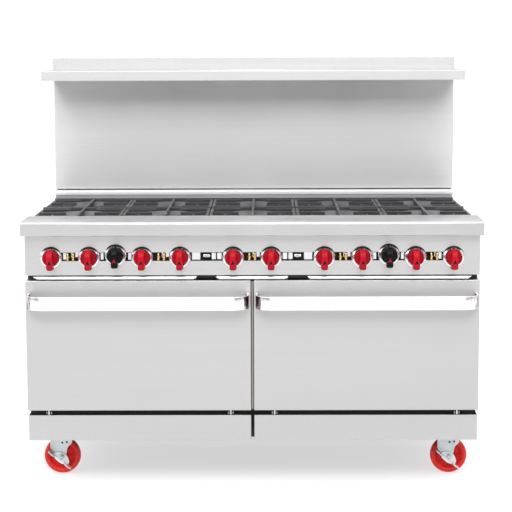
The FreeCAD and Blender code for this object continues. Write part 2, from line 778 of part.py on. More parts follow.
def caster_plate(x, y):
    """The top plate with its raceway and kingpin in one piece."""
    z = BODY_BASE
    plate = fuse([
        box((x - 50, x + 50), (y - 42, y + 42), (z - PLATE_THICK, z)),
        turned([(0, 0), (24, 0), (29, 8), (29, 11), (0, 11)], (x, y, z - 14.5), (0, 0, 1)),
        rod(KINGPIN, (x, y, z - 24), (x, y, z - 3)),
        rod(9, (x, y, z - 24), (x, y, z - CROWN_DROP - CROWN_THICK - CLEAR)),
    ])
    return plate.cut(bolt_holes(x, y))


def caster_fork(x, y):
    """A swivel fork with its axle bolt."""
    top = BODY_BASE - CROWN_DROP
    low = top - CROWN_THICK
    axle = x + TRAIL
    z = WHEEL_RADIUS
    bore = KINGPIN + PIN_CLEAR
    dish = [(bore, 0), (40, 0), (40, 4), (34, CROWN_THICK), (bore, CROWN_THICK)]
    crown = turned(dish, (x, y, low), (0, 0, 1))
    pieces = [crown]
    for way in (-1, 1):
        side = sorted((y + way * 19, y + way * 23))
        outline = [(x - 33, low + 3), (x + 34, low + 3), (axle + 38, z + 50), (axle + 9, z + 22),
                   (axle + 13, z - 6), (axle - 13, z - 6), (x - 33, z + 30)]
        leg = fuse([prism(outline, side[0], 4, "xz"), rod(15, (axle, side[0], z), (axle, side[1], z))])
        pieces.append(leg.cut(rod(AXLE + 0.1, (axle, side[0] - 1, z), (axle, side[1] + 1, z))))
    bolt = fuse([
        rod(AXLE, (axle, y - 37, z), (axle, y + 24, z)),
        hex_head((axle, y + 23.3, z), (0, 1, 0), 9, 6),
        hex_head((axle, y - 27.5, z), (0, -1, 0), 9, 7),
    ])
    return [fuse(pieces), bolt]


def hex_head(base, axis, radius, height):
    """A six-sided head or nut on a surface."""
    turn = [math.radians(60 * n) for n in range(6)]
    corners = [Vector(radius * math.cos(a), radius * math.sin(a), 0) for a in turn]
    head = Part.Face(Part.makePolygon(corners + corners[:1])).extrude(Vector(0, 0, height))
    head.Placement = FreeCAD.Placement(
        Vector(*base), FreeCAD.Rotation(Vector(0, 0, 1), Vector(*axis))
    )
    return head


def caster_wheel(x, y):
    """A wheel with a crowned tread and a recessed core."""
    half = WHEEL_WIDTH / 2
    bore = AXLE + PIN_CLEAR
    profile = [
        (bore, -half), (13, -half), (15, -half + 6), (44, -half + 6), (47, -half), (58, -half),
        (WHEEL_RADIUS, -half + 6), (WHEEL_RADIUS, half - 6), (58, half), (47, half),
        (44, half - 6), (15, half - 6), (13, half), (bore, half),
    ]
    return [turned(profile, (x + TRAIL, y, WHEEL_RADIUS), (0, 1, 0))]


def brake_lever(x, y):
    """A pedal on a boss that turns on the axle bolt, in front of the fork's leg."""
    lean = math.radians(BRAKE_LEAN)
    centre = (x + TRAIL, WHEEL_RADIUS)
    back = y - 23.5

    def placed(points):
        return [
            (centre[0] + a * math.cos(lean) - b * math.sin(lean),
             centre[1] + a * math.sin(lean) + b * math.cos(lean))
            for a, b in points
        ]

    plate = placed([(-28, -13), (34, -13), (30, 2), (14, 14), (-8, 14), (-24, 0)])
    blade = placed([(-50, -13.5), (50, -13.5), (50, -9.7), (-50, -9.7)])
    lever = fuse([prism(plate, back - 3, 3, "xz"), prism(blade, back - PEDAL_WIDTH, PEDAL_WIDTH, "xz")])
    bore = rod(AXLE + PIN_CLEAR, (centre[0], back - 4, centre[1]), (centre[0], back + 1, centre[1]))
    return [lever.cut(bore)]


def fasteners():
    """Caster bolts under the plates and screws on the rear panel."""
    pieces = []
    low = BODY_BASE - PLATE_THICK
    for name, x, y in caster_places():
        for a, b in bolt_spots(x, y):
            head = hex_head((a, b, low), (0, 0, -1), 7, 5)
            pieces.append(fuse([head, rod(4, (a, b, low - 1), (a, b, BODY_BASE + 9))]))
    back = SKIN_REAR + SHEET
    for x, z in rear_screws():
        head = hex_head((x, back, z), (0, 1, 0), 5, 3)
        pieces.append(fuse([head, rod(2, (x, back - SHEET, z), (x, back + 1, z))]))
    return pieces


# ---------------------------------------------------------------- write the nodes
os.makedirs("parts", exist_ok=True)

save("chassis_frame", base_frame() + posts() + face_frame() + hinge_lugs() + tray_guides()
     + grate_rails() + burner_rests())
save("side_panels", side_panels())
save("rear_panel", rear_panel())
save("front_ledge", front_ledge())
save("control_panel", control_panel())
save("kick_panels", kick_panels())
save("backguard", backguard())
save("high_shelf", high_shelf())
save("oven_liners", oven_liners())
save("oven_rack_guides", oven_rack_guides())
save("oven_insulation", oven_insulation())
save("gas_manifold", gas_manifold())
save("burner_valves", burner_valves())
save("burners", burners())
save("knob_bezels", knob_bezels())
save("fasteners", fasteners())
save("caster_plates", [caster_plate(x, y) for name, x, y in caster_places()])

for name, sign in (("left", -1), ("right", 1)):
    save(f"door_{name}_panel", door_panel(sign))
    save(f"door_{name}_liner", door_liner(sign))
    save(f"door_{name}_handle", door_handle(sign))
    save(f"oven_rack_{name}", oven_rack(sign))
    save(f"oven_thermostat_knob_{name}", knob(sign * THERMOSTAT_X, THERMOSTAT_Z, THERMOSTAT_STAND))

for number, x in enumerate(knob_places(), start=1):
    save(f"burner_knob_{number}", knob(x, KNOB_Z, KNOB_STAND))

for number, column in enumerate(COLUMNS, start=1):
    for row, row_name in enumerate(ROW_NAMES):
        save(f"grate_{number}_{row_name}", grate(column, row))

save("crumb_tray_left", crumb_tray(-722, -190, -735, -183))
save("crumb_tray_centre", crumb_tray(-118, 118, -123, 123))
save("crumb_tray_right", crumb_tray(190, 722, 183, 735))

for name, x, y in caster_places():
    save(f"caster_{name}_fork", caster_fork(x, y))
    save(f"caster_{name}_wheel", caster_wheel(x, y))
    if y == SWIVEL_FRONT:
        save(f"caster_{name}_brake", brake_lever(x, y))
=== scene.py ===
import json
import math

import bmesh
import bpy
from mathutils import Matrix, Vector


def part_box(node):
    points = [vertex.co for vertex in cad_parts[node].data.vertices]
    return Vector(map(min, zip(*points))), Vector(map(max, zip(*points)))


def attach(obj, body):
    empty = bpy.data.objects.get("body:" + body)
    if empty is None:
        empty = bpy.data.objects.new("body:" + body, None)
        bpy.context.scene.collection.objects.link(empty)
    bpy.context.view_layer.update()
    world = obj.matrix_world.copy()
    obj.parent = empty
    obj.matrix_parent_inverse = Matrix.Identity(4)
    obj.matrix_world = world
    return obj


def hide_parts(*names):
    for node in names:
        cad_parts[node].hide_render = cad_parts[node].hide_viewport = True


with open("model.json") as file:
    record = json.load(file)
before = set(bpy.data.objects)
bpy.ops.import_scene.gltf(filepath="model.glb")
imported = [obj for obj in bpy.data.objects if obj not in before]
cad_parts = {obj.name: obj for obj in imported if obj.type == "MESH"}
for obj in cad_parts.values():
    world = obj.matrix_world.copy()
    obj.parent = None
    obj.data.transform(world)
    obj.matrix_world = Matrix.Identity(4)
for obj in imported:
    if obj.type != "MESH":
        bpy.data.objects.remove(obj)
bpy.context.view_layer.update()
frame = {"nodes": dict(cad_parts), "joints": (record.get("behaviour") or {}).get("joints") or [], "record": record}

UP = Vector((0, 0, 1))
OUT = Vector((0, -1, 0))
ALONG = Vector((1, 0, 0))
DEEP = Vector((0, 1, 0))
COLLECTION = bpy.context.scene.collection
JOINTS = {joint["child"]: joint for joint in frame["joints"]}


def pivot(body):
    """A point on the joint axis that a body turns or slides on."""
    return Vector(JOINTS[body]["pos_m"])


# ---- materials
def map_range(tree, value, limits, kind):
    """A node that moves a value from its first two limits to the range of the last two."""
    made = tree.nodes.new("ShaderNodeMapRange")
    made.interpolation_type = kind
    for name, limit in zip(("From Min", "From Max", "To Min", "To Max"), limits):
        made.inputs[name].default_value = limit
    tree.links.new(value, made.inputs["Value"])
    return made.outputs["Result"]


class Finish:
    """One procedural material. Its patterns are in the piece's own coordinates, in metres."""

    def __init__(self, name, colour, metallic=0.0, roughness=0.5):
        self.material = bpy.data.materials.new(name)
        self.material.use_nodes = True
        self.tree = self.material.node_tree
        self.shader = self.tree.nodes["Principled BSDF"]
        self.colour = tuple(colour) + (1.0,)
        self.set("Base Color", self.colour)
        self.set("Metallic", metallic)
        self.set("Roughness", roughness)
        self.place = self.node("ShaderNodeTexCoord").outputs["Object"]

    def node(self, kind, **settings):
        """A new node with its settings."""
        made = self.tree.nodes.new(kind)
        for name, value in settings.items():
            setattr(made, name, value)
        return made

    def join(self, source, target):
        """A link between two sockets."""
        self.tree.links.new(source, target)

    def set(self, socket, value):
        """A constant on the shader's own socket."""
        self.shader.inputs[socket].default_value = value

    def stretched(self, stretch):
        """The piece's coordinates, scaled on each axis."""
        mapping = self.node("ShaderNodeMapping")
        mapping.inputs["Scale"].default_value = stretch
        self.join(self.place, mapping.inputs["Vector"])
        return mapping.outputs["Vector"]

    def noise(self, scale, stretch=(1, 1, 1), detail=3.0, distortion=0.0):
        """A cloudy pattern, finer along an axis the more that axis is scaled."""
        made = self.node("ShaderNodeTexNoise")
        made.inputs["Scale"].default_value = scale
        made.inputs["Detail"].default_value = detail
        made.inputs["Distortion"].default_value = distortion
        self.join(self.stretched(stretch), made.inputs["Vector"])
        return made.outputs["Fac"]

    def cells(self, scale, output="Distance"):
        """A pattern of crystals or specks."""
        made = self.node("ShaderNodeTexVoronoi")
        made.inputs["Scale"].default_value = scale
        self.join(self.stretched((1, 1, 1)), made.inputs["Vector"])
        return made.outputs[output]

    def span(self, value, low, high, start=0.3, end=0.7):
        """A pattern from start to end, moved to the range low to high."""
        return map_range(self.tree, value, (start, end, low, high), "LINEAR")

    def blend(self, factor, first, second, mode="MIX"):
        """Two colours mixed by a pattern; each is a colour or an output."""
        made = self.node("ShaderNodeMix", data_type="RGBA", blend_type=mode)
        self.join(factor, made.inputs["Factor"])
        for socket, value in ((made.inputs[6], first), (made.inputs[7], second)):
            if isinstance(value, bpy.types.NodeSocket):
                self.join(value, socket)
            else:
                socket.default_value = tuple(value) + (1.0,) if len(value) == 3 else value
        return made.outputs[2]

    def shade(self, amount):
        """The base colour made darker or lighter by a share."""
        return tuple(min(1.0, channel * amount) for channel in self.colour[:3])

    def paint(self, colour):
        """The shader's colour, from a pattern."""
        self.join(colour, self.shader.inputs["Base Color"])

    def rough(self, value):
        """The shader's roughness, from a pattern."""
        self.join(value, self.shader.inputs["Roughness"])

    def bump(self, *layers):
        """Stacked bumps, each a pattern, its depth in metres and its strength."""
        normal = None
        for value, depth, strength in layers:
            made = self.node("ShaderNodeBump")
            made.inputs["Distance"].default_value = depth
            made.inputs["Strength"].default_value = strength
            self.join(value, made.inputs["Height"])
            if normal is not None:
                self.join(normal, made.inputs["Normal"])
            normal = made.outputs["Normal"]
        self.join(normal, self.shader.inputs["Normal"])


def brushed(name, colour, grain, roughness=0.4):
    """Sheet steel brushed along one axis, with faint streaks, clouds and smudges."""
    finish = Finish(name, colour, 1.0, roughness)
    fine = tuple(3 if axis == grain else 900 for axis in "XYZ")
    wide = tuple(0.9 if axis == grain else 60 for axis in "XYZ")
    scratches = finish.noise(1.0, fine, 4.0)
    streaks = finish.noise(1.0, wide, 3.0)
    clouds = finish.noise(2.2, detail=2.0)
    smudges = finish.noise(9.0, detail=4.0, distortion=0.6)
    tone = finish.blend(finish.span(streaks, 0.0, 1.0), finish.shade(0.98), finish.shade(1.02))
    tone = finish.blend(finish.span(clouds, 0.0, 0.6), tone, finish.shade(0.96))
    finish.paint(finish.blend(finish.span(scratches, 0.0, 0.3), tone, finish.shade(0.9)))
    polish = finish.node("ShaderNodeMath", operation="ADD")
    finish.join(finish.span(scratches, roughness - 0.03, roughness + 0.04), polish.inputs[0])
    finish.join(finish.span(smudges, -0.02, 0.02), polish.inputs[1])
    finish.rough(polish.outputs[0])
    finish.bump((streaks, 0.0004, 0.03), (scratches, 0.00005, 0.15))
    finish.set("Anisotropic", 0.7)
    finish.set("Anisotropic Rotation", 0.25)
    return finish.material


def galvanised(name, colour):
    """Zinc-coated sheet with crystals a finger wide, each turned its own way."""
    finish = Finish(name, colour, 1.0, 0.4)
    crystals = finish.cells(70, "Color")
    dull = finish.noise(14, detail=5.0)
    tone = finish.blend(crystals, finish.shade(0.78), finish.shade(1.1))
    finish.paint(finish.blend(finish.span(dull, 0.0, 0.5), tone, finish.shade(0.85)))
    finish.rough(finish.span(crystals, 0.3, 0.5, 0.0, 1.0))
    finish.bump((finish.noise(400, detail=2.0), 0.0001, 0.25))
    return finish.material


def bright(name, colour, roughness, tarnish=0.9, metallic=1.0):
    """Plated or polished metal with a faint haze of tarnish and hairline scratches."""
    finish = Finish(name, colour, metallic, roughness)
    haze = finish.noise(26, detail=4.0, distortion=0.4)
    hair = finish.noise(1.0, (40, 700, 700), 3.0)
    finish.paint(finish.blend(finish.span(haze, 0.0, 0.6), finish.shade(1.0), finish.shade(tarnish)))
    finish.rough(finish.span(hair, roughness * 0.8, roughness * 1.3))
    finish.bump((hair, 0.00003, 0.15))
    return finish.material


def facing_shaded(name, colour, shade_colour, roughness, axis, limits, wander):
    """Plated metal with painted shade where it faces up (Z) or to either side (X).

    The painted shade grows between the two limits of that turn, and wanders with the streaks."""
    finish = Finish(name, colour, 1.0, roughness)
    split = finish.node("ShaderNodeSeparateXYZ")
    finish.join(finish.node("ShaderNodeNewGeometry").outputs["Normal"], split.inputs["Vector"])
    turned = split.outputs[axis]
    if axis == "X":
        sideways = finish.node("ShaderNodeMath", operation="ABSOLUTE")
        finish.join(turned, sideways.inputs[0])
        turned = sideways.outputs[0]
    streaks = finish.noise(1.0, (160, 60, 26), 3.0, 0.8)
    edge = finish.node("ShaderNodeMath", operation="ADD")
    finish.join(turned, edge.inputs[0])
    finish.join(finish.span(streaks, -wander, wander), edge.inputs[1])
    # painted shade: the colour turns to the shade colour as the face turns
    finish.paint(finish.blend(finish.span(edge.outputs[0], 0.0, 1.0, *limits), colour, shade_colour))
    finish.rough(finish.span(streaks, roughness * 0.8, roughness * 1.4))
    finish.bump((streaks, 0.0002, 0.2))
    return finish.material


def casting(name, colour, metallic, roughness, grit=0.00035):
    """Sand-cast iron: a gritty skin with duller and shinier patches."""
    finish = Finish(name, colour, metallic, roughness)
    sand = finish.noise(900, detail=3.0)
    pits = finish.noise(240, detail=4.0)
    patches = finish.noise(18, detail=4.0, distortion=0.5)
    tone = finish.blend(finish.span(patches, 0.0, 1.0), finish.shade(0.7), finish.shade(1.35))
    finish.paint(finish.blend(finish.span(sand, 0.0, 0.4), tone, finish.shade(0.55)))
    finish.rough(finish.span(patches, roughness - 0.08, roughness + 0.14))
    finish.bump((pits, grit * 1.6, 0.35), (sand, grit, 0.35))
    return finish.material


def moulded(name, colour, roughness=0.28, coat=0.15, gloss=0.35):
    """Glossy moulded plastic with flow marks, a fine texture and rubbed patches."""
    finish = Finish(name, colour, 0.0, roughness)
    flow = finish.noise(38, (1, 1, 0.35), 4.0, 0.8)
    rubbed = finish.noise(120, detail=4.0)
    tone = finish.blend(finish.span(flow, 0.0, 1.0), finish.shade(0.84), finish.shade(1.16))
    finish.paint(finish.blend(finish.span(rubbed, 0.0, 0.3), tone, finish.shade(1.3)))
    finish.rough(finish.span(rubbed, roughness - 0.05, roughness + 0.12))
    finish.bump((finish.noise(1500, detail=2.0), 0.00005, 0.18))
    finish.set("Coat Weight", coat)
    finish.set("Coat Roughness", 0.08)
    finish.set("Specular IOR Level", gloss)
    return finish.material


def polyurethane(name, colour):
    """A cast tyre: glossy, slightly cloudy, with scuffs and embedded dust."""
    finish = Finish(name, colour, 0.0, 0.32)
    cloud = finish.noise(30, detail=3.0, distortion=0.7)
    scuffs = finish.noise(1.0, (90, 500, 90), 5.0)
    dust = finish.noise(700, detail=2.0)
    tone = finish.blend(finish.span(cloud, 0.0, 1.0), finish.shade(0.82), finish.shade(1.18))
    worn = finish.blend(finish.span(scuffs, 0.0, 0.18, 0.5, 0.75), tone, (0.62, 0.2, 0.15))
    finish.paint(finish.blend(finish.span(dust, 0.0, 0.3, 0.6, 0.8), worn, (0.25, 0.12, 0.1)))
    finish.rough(finish.span(scuffs, 0.24, 0.52))
    finish.bump((scuffs, 0.0002, 0.2), (dust, 0.0001, 0.2))
    finish.set("Coat Weight", 0.06)
    finish.set("Coat Roughness", 0.2)
    finish.set("Specular IOR Level", 0.25)
    return finish.material


def enamel(name, colour):
    """Dark vitreous enamel with pale speckles and a rippled gloss."""
    finish = Finish(name, colour, 0.0, 0.18)
    specks = finish.cells(420)
    ripple = finish.noise(60, detail=2.0)
    bake = finish.noise(5, detail=5.0, distortion=0.5)
    tone = finish.blend(finish.span(bake, 0.0, 0.6), finish.shade(1.0), (0.06, 0.04, 0.03))
    finish.paint(finish.blend(finish.span(specks, 1.0, 0.0, 0.05, 0.14), tone, (0.5, 0.52, 0.56)))
    finish.rough(finish.span(bake, 0.14, 0.4))
    finish.bump((ripple, 0.0003, 0.2))
    finish.set("Coat Weight", 0.4)
    return finish.material


def painted(name, colour, roughness=0.5, metallic=0.0):
    """Aluminised or painted steel with orange peel and grimy patches."""
    finish = Finish(name, colour, metallic, roughness)
    grime = finish.noise(7, detail=6.0, distortion=0.4)
    peel = finish.noise(520, detail=2.0)
    tone = finish.blend(finish.span(grime, 0.0, 1.0), finish.shade(0.72), finish.shade(1.12))
    finish.paint(finish.blend(finish.span(peel, 0.0, 0.25), tone, finish.shade(1.35)))
    finish.rough(finish.span(grime, roughness - 0.1, roughness + 0.15))
    finish.bump((peel, 0.00015, 0.3))
    return finish.material


def wool(name, colour):
    """Mineral wool: matted fibres with darker hollows."""
    finish = Finish(name, colour, 0.0, 0.95)
    fibres = finish.noise(1.0, (700, 120, 240), 6.0, 1.2)
    lumps = finish.noise(45, detail=5.0)
    tone = finish.blend(finish.span(fibres, 0.0, 1.0), finish.shade(0.55), finish.shade(1.2))
    finish.paint(finish.blend(finish.span(lumps, 0.0, 0.5), tone, finish.shade(0.7)))
    finish.bump((lumps, 0.004, 0.6), (fibres, 0.0012, 0.7))
    finish.set("Sheen Weight", 0.3)
    return finish.material


SHEET_EDGE = 0.0004
STEEL = (0.525, 0.52, 0.517)
FINISHES = {
    "stainless": brushed("brushed_stainless_level", STEEL, "X"),
    "galvanised": galvanised("galvanised_sheet", (0.62, 0.64, 0.66)),
    # The frame is near-black, so the gaps round the doors show dark.
    "frame_steel": painted("near_black_frame", (0.03, 0.026, 0.024), 0.6),
    "chrome": bright("polished_chrome", (0.86, 0.86, 0.87), 0.1),
    "cast_iron": casting("black_cast_iron", (0.035, 0.033, 0.036), 0.0, 0.42),
    "burner_iron": casting("grey_burner_iron", (0.52, 0.52, 0.54), 0.35, 0.5),
    "red_knob": moulded("red_moulded_plastic", (0.34, 0.0016, 0.01), 0.34, 0.03, 0.12),
    "black_knob": moulded("black_moulded_plastic", (0.004, 0.004, 0.005), 0.2, 0.02, 0.09),
    # Pilot bonnets: painted shade on the faces turned to either side, the middle left bright.
    "brass": facing_shaded(
        "turned_brass", (0.78, 0.55, 0.2), (0.11, 0.07, 0.025), 0.22, "X", (0.3, 0.75), 0.06),
    "zinc": bright("zinc_plate", (0.5, 0.54, 0.55), 0.3, 0.66),
    "red_wheel": polyurethane("red_polyurethane", (0.66, 0.017, 0.011)),
    "oven_enamel": enamel("speckled_enamel", (0.03, 0.032, 0.04)),
    "mineral_wool": wool("mineral_wool", (0.6, 0.54, 0.38)),
    "black_pipe": painted("black_iron_pipe", (0.035, 0.034, 0.033), 0.45),
}
STEEL_DEPTHWISE = brushed("brushed_stainless_depthwise", STEEL, "Y")
# A darker copy of the stainless: painted shade for the riser sheet under its cap.
SHADED_RISER_STEEL = brushed("shade_darkened_stainless", (0.4, 0.395, 0.41), "X", 0.45)
# A darker, browner copy of the stainless for the strip deep in the gap between the doors.
MULLION = brushed("dark_brown_stainless", (0.3, 0.275, 0.25), "Z", 0.45)
HANDLE_PLATE = bright("polished_handle_plate", (0.94, 0.94, 0.94), 0.36, 0.97, 0.4)
SATIN = bright("satin_plate", (0.88, 0.88, 0.88), 0.22, 0.95)
ALUMINIUM = bright("drawn_aluminium", (0.82, 0.83, 0.85), 0.24, 0.85)
FROSTED = bright("frosted_plate", (0.64, 0.64, 0.65), 0.36, 0.94, 0.3)
PEDAL_ZINC = bright("pale_zinc_plate", (0.7, 0.75, 0.76), 0.42, 0.85, 0.55)
# Knob skirts take a darker copy of the knobs' red: painted shade, since skirt and grip are one moulding.
DISC_RED = moulded("red_moulded_skirt", (0.26, 0.0006, 0.007), 0.36, 0.01, 0.08)
CORE_RED = moulded("red_moulded_core", (0.6, 0.014, 0.009), 0.4, 0.02, 0.15)
# Bowls take a lighter iron than the grates: partly bare iron, partly a painted sheen where their walls catch
# light.
BOWL_IRON = casting("bare_bowl_iron_with_sheen", (0.135, 0.133, 0.14), 0.2, 0.5, 0.0006)
# End castings of the handles: painted dark reflection on the faces turned to either side, wandering in streaks.
CAST_CHROME = facing_shaded(
    "chrome_casting", (0.86, 0.86, 0.87), (0.2, 0.125, 0.12), 0.16, "X", (0.5, 0.92), 0.28)
# Knob bezels: painted shade and dark reflection on their upward faces.
TOP_SHADED_SATIN = facing_shaded(
    "satin_ring", (0.9, 0.9, 0.9), (0.06, 0.055, 0.052), 0.22, "Z", (0.26, 0.52), 0.06)

# Backguard, control panel and ledge take lighter copies of the one brushed stainless: painted light that brightens
# them beside the doors.
NODE_FINISHES = {
    "side_panels": STEEL_DEPTHWISE,
    "backguard": brushed("brushed_stainless_guard", (0.6, 0.596, 0.598), "X", 0.44),
    "control_panel": brushed("brushed_stainless_panel", (0.59, 0.582, 0.576), "X", 0.3),
    "front_ledge": brushed("brushed_stainless_ledge", (0.54, 0.535, 0.533), "X", 0.34),
}


def finish_cad_nodes():
    """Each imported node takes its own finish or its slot's, and gets soft edges."""
    slots = {part["node"]: part["material_slot"] for part in frame["record"]["subparts"]}
    for name, node in frame["nodes"].items():
        finish = NODE_FINISHES.get(name, FINISHES[slots[name]])
        for holder in node.material_slots:
            holder.link = "OBJECT"
            holder.material = finish
        soften(node, SHEET_EDGE, 2)


# ---- building pieces
WELD_REACH = 0.00002
BEVEL_ANGLE = math.radians(32)
SHARP_ANGLE = math.radians(35)
AXIS_REACH = 1e-7


def soften(piece, width, segments=3):
    """Rounded edges on a piece."""
    weld = piece.modifiers.new("weld", "WELD")
    weld.merge_threshold = WELD_REACH
    bevel = piece.modifiers.new("soft_edges", "BEVEL")
    bevel.width = width
    bevel.segments = segments
    bevel.limit_method = "ANGLE"
    bevel.angle_limit = BEVEL_ANGLE
    bevel.harden_normals = True


def finished(bm, name, body, slot, bevel=0.0, material=None, replaced=()):
    """A piece made from a bmesh, with its finish, its body and the nodes it stands for."""
    bmesh.ops.remove_doubles(bm, verts=bm.verts, dist=1e-6)
    bmesh.ops.recalc_face_normals(bm, faces=bm.faces)
    mesh = bpy.data.meshes.new(name)
    bm.to_mesh(mesh)
    bm.free()
    mesh.shade_smooth()
    piece = bpy.data.objects.new(name, mesh)
    COLLECTION.objects.link(piece)
    mesh.materials.append(material or FINISHES[slot])
    if bevel:
        soften(piece, bevel)
    else:
        mesh.set_sharp_from_angle(angle=SHARP_ANGLE)
    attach(piece, body)
    if replaced:
        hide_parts(*replaced)


def basis(origin, axis, side=None):
    """A placement whose Z runs along an axis, with its X along side if that is given."""
    axis = Vector(axis).normalized()
    side = Vector(side or axis.orthogonal()).normalized()
    across = axis.cross(side)
    turn = Matrix((side, across, axis)).transposed().to_4x4()
    return Matrix.Translation(Vector(origin)) @ turn


def lathe(bm, profile, placement, steps):
    """Turns (radius, height) points about the placement's Z. Points on the axis close the form."""
    rings = []
    for radius, height in profile:
        if radius < AXIS_REACH:
            rings.append([bm.verts.new(placement @ Vector((0, 0, height)))])
            continue
        turns = [math.tau * n / steps for n in range(steps)]
        rings.append([bm.verts.new(placement @ Vector((radius * math.cos(a), radius * math.sin(a), height)))
                      for a in turns])
    for first, second in zip(rings[:-1], rings[1:]):
        for n in range(steps):
            m = (n + 1) % steps
            corners = [first[n % len(first)], first[m % len(first)]]
            corners += [second[m % len(second)], second[n % len(second)]]
            unique = list(dict.fromkeys(corners))
            if len(unique) > 2:
                bm.faces.new(unique)


def rounded_profile(points, radius, steps=4):
    """A profile whose corners, apart from its two ends, are replaced by small arcs."""
    made = [points[0]]
    for before, here, after in zip(points[:-2], points[1:-1], points[2:]):
        here = Vector(here)
        back = Vector(before) - here
        forth = Vector(after) - here
        reach = min(radius, back.length * 0.45, forth.length * 0.45)
        start = here + back.normalized() * reach
        end = here + forth.normalized() * reach
        for n in range(steps + 1):
            t = n / steps
            made.append(tuple(start * (1 - t) ** 2 + here * (2 * t * (1 - t)) + end * t * t))
    made.append(points[-1])
    return made


def rounded_loop(points, radius, steps=4):
    """A closed outline whose corners are replaced by small arcs."""
    wrapped = [points[-1]] + list(points) + [points[0]]
    return rounded_profile(wrapped, radius, steps)[1:-1]


def slab(bm, outline, depth, placement):
    """An outline in the placement's XY plane, given a thickness along its Z."""
    low = [bm.verts.new(placement @ Vector((a, b, 0))) for a, b in outline]
    high = [bm.verts.new(placement @ Vector((a, b, depth))) for a, b in outline]
    bm.faces.new(low)
    bm.faces.new(high)
    for n in range(len(outline)):
        m = (n + 1) % len(outline)
        bm.faces.new((low[n], low[m], high[m], high[n]))


def loft(bm, sections):
    """Joins loops of points, each with the same count, into one closed skin."""
    loops = [[bm.verts.new(point) for point in section] for section in sections]
    count = len(loops[0])
    for first, second in zip(loops[:-1], loops[1:]):
        for n in range(count):
            m = (n + 1) % count
            bm.faces.new((first[n], first[m], second[m], second[n]))
    bm.faces.new(loops[0])
    bm.faces.new(loops[-1])


def rounded_box(bm, low, high, radius=0.0):
    """A block between two corners, with its four long edges rounded."""
    (x0, y0, z0), (x1, y1, z1) = low, high
    outline = [(x0, y0), (x1, y0), (x1, y1), (x0, y1)]
    if radius:
        outline = rounded_loop(outline, radius)
    slab(bm, outline, z1 - z0, Matrix.Translation((0, 0, z0)))


def hexagon(radius):
    """The corners of a six-sided nut."""
    turns = [math.tau * n / 6 for n in range(6)]
    return [(radius * math.cos(turn), radius * math.sin(turn)) for turn in turns]


def nut(bm, placement, radius, height):
    """A nut with a chamfered crown and a bolt end standing out of it."""
    shoulder = height * 0.85
    tip = height * 1.5
    bolt = radius * 0.5
    slab(bm, hexagon(radius), shoulder, placement)
    crown = [(0, shoulder), (radius * 0.84, shoulder), (radius * 0.74, height), (0, height)]
    lathe(bm, crown, placement, 36)
    end = [(0, height), (bolt, height), (bolt, height * 1.35), (radius * 0.42, tip), (0, tip)]
    lathe(bm, end, placement, 36)


def tube(name, points, radius, body, slot, material=None):
    """A bent tube along points, with rounded bends."""
    curve = bpy.data.curves.new(name, "CURVE")
    curve.dimensions = "3D"
    curve.bevel_depth = radius
    curve.bevel_resolution = 5
    curve.use_fill_caps = True
    line = curve.splines.new("NURBS")
    line.points.add(len(points) - 1)
    for spot, point in zip(line.points, points):
        spot.co = (*point, 1)
    line.order_u = 3
    line.use_endpoint_u = True
    line.resolution_u = 8
    curve.materials.append(material or FINISHES[slot])
    piece = bpy.data.objects.new(name, curve)
    COLLECTION.objects.link(piece)
    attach(piece, body)


# ---- knobs
KNOB_RADIUS = 0.027
GRIP_REACH = 0.04
GRIP_BACK = 0.0085
POINTER_SIZE = 0.0088
POINTER_REACH = 0.0377
POINTER_DROP = 0.0135
POINTER_DEPTH = 0.001
STEM_RADIUS = 0.004
STEM_LENGTH = 0.026
BURNER_KNOBS = [f"burner_knob_{n}" for n in range(1, 11)]
THERMOSTAT_KNOBS = [f"oven_thermostat_knob_{side}" for side in ("left", "right")]


def knob_disc(bm, centre, stand):
    """The knob's skirt: a shallow dome with a rolled rim, hollow at the back."""
    radius = KNOB_RADIUS
    profile = rounded_profile([
        (0.0, 0.0065), (radius - 0.003, 0.0065), (radius - 0.003, 0.0), (radius, 0.0005),
        (radius, 0.0085), (radius - 0.004, 0.0125), (radius * 0.5, 0.0152), (0.0, 0.016),
    ], 0.002)
    lathe(bm, profile, basis(centre + OUT * stand, OUT), 72)


def knob_grip(bm, centre, stand):
    """The finger grip: narrow and shallow at the top, widest at the tab below the disc.

    Each station is a height, a half width and a reach from the knob's foot."""
    stations = [
        (0.0285, 0.0096, 0.02), (0.024, 0.0102, 0.03), (0.013, 0.0106, 0.0375),
        (0.002, 0.0109, 0.0398), (-0.013, 0.0114, 0.038), (-0.027, 0.0123, 0.036),
        (-0.0345, 0.012, 0.032), (-0.0378, 0.0102, 0.0285), (-0.0393, 0.007, 0.0255),
    ]
    sections = []
    for height, half, reach in stations:
        z = centre.z + height
        y0 = centre.y - stand - GRIP_BACK
        y1 = centre.y - stand - reach
        edge = min(0.0026, (y0 - y1) * 0.4)
        corners = [(-half, y0), (half, y0), (half * 0.9, y1), (-half * 0.9, y1)]
        outline = corners[:2] + rounded_loop(corners, edge, 3)[8:]
        sections.append([Vector((centre.x + a, b, z)) for a, b in outline])
    loft(bm, sections)


def pointer(bm, centre, stand):
    """A generic arrowhead that marks the knob's setting, raised a hair from the grip's lean."""
    lean = Vector((0, 0.0019, -0.0145)).normalized()
    placement = Matrix((ALONG, -lean, ALONG.cross(-lean))).transposed().to_4x4()
    placement.translation = centre + Vector((0, -stand - POINTER_REACH, -POINTER_DROP))
    half, barb, notch = POINTER_SIZE * 0.78, -POINTER_SIZE * 0.7, -POINTER_SIZE * 0.28
    slab(bm, [(0, POINTER_SIZE), (half, barb), (0, notch), (-half, barb)], POINTER_DEPTH, placement)


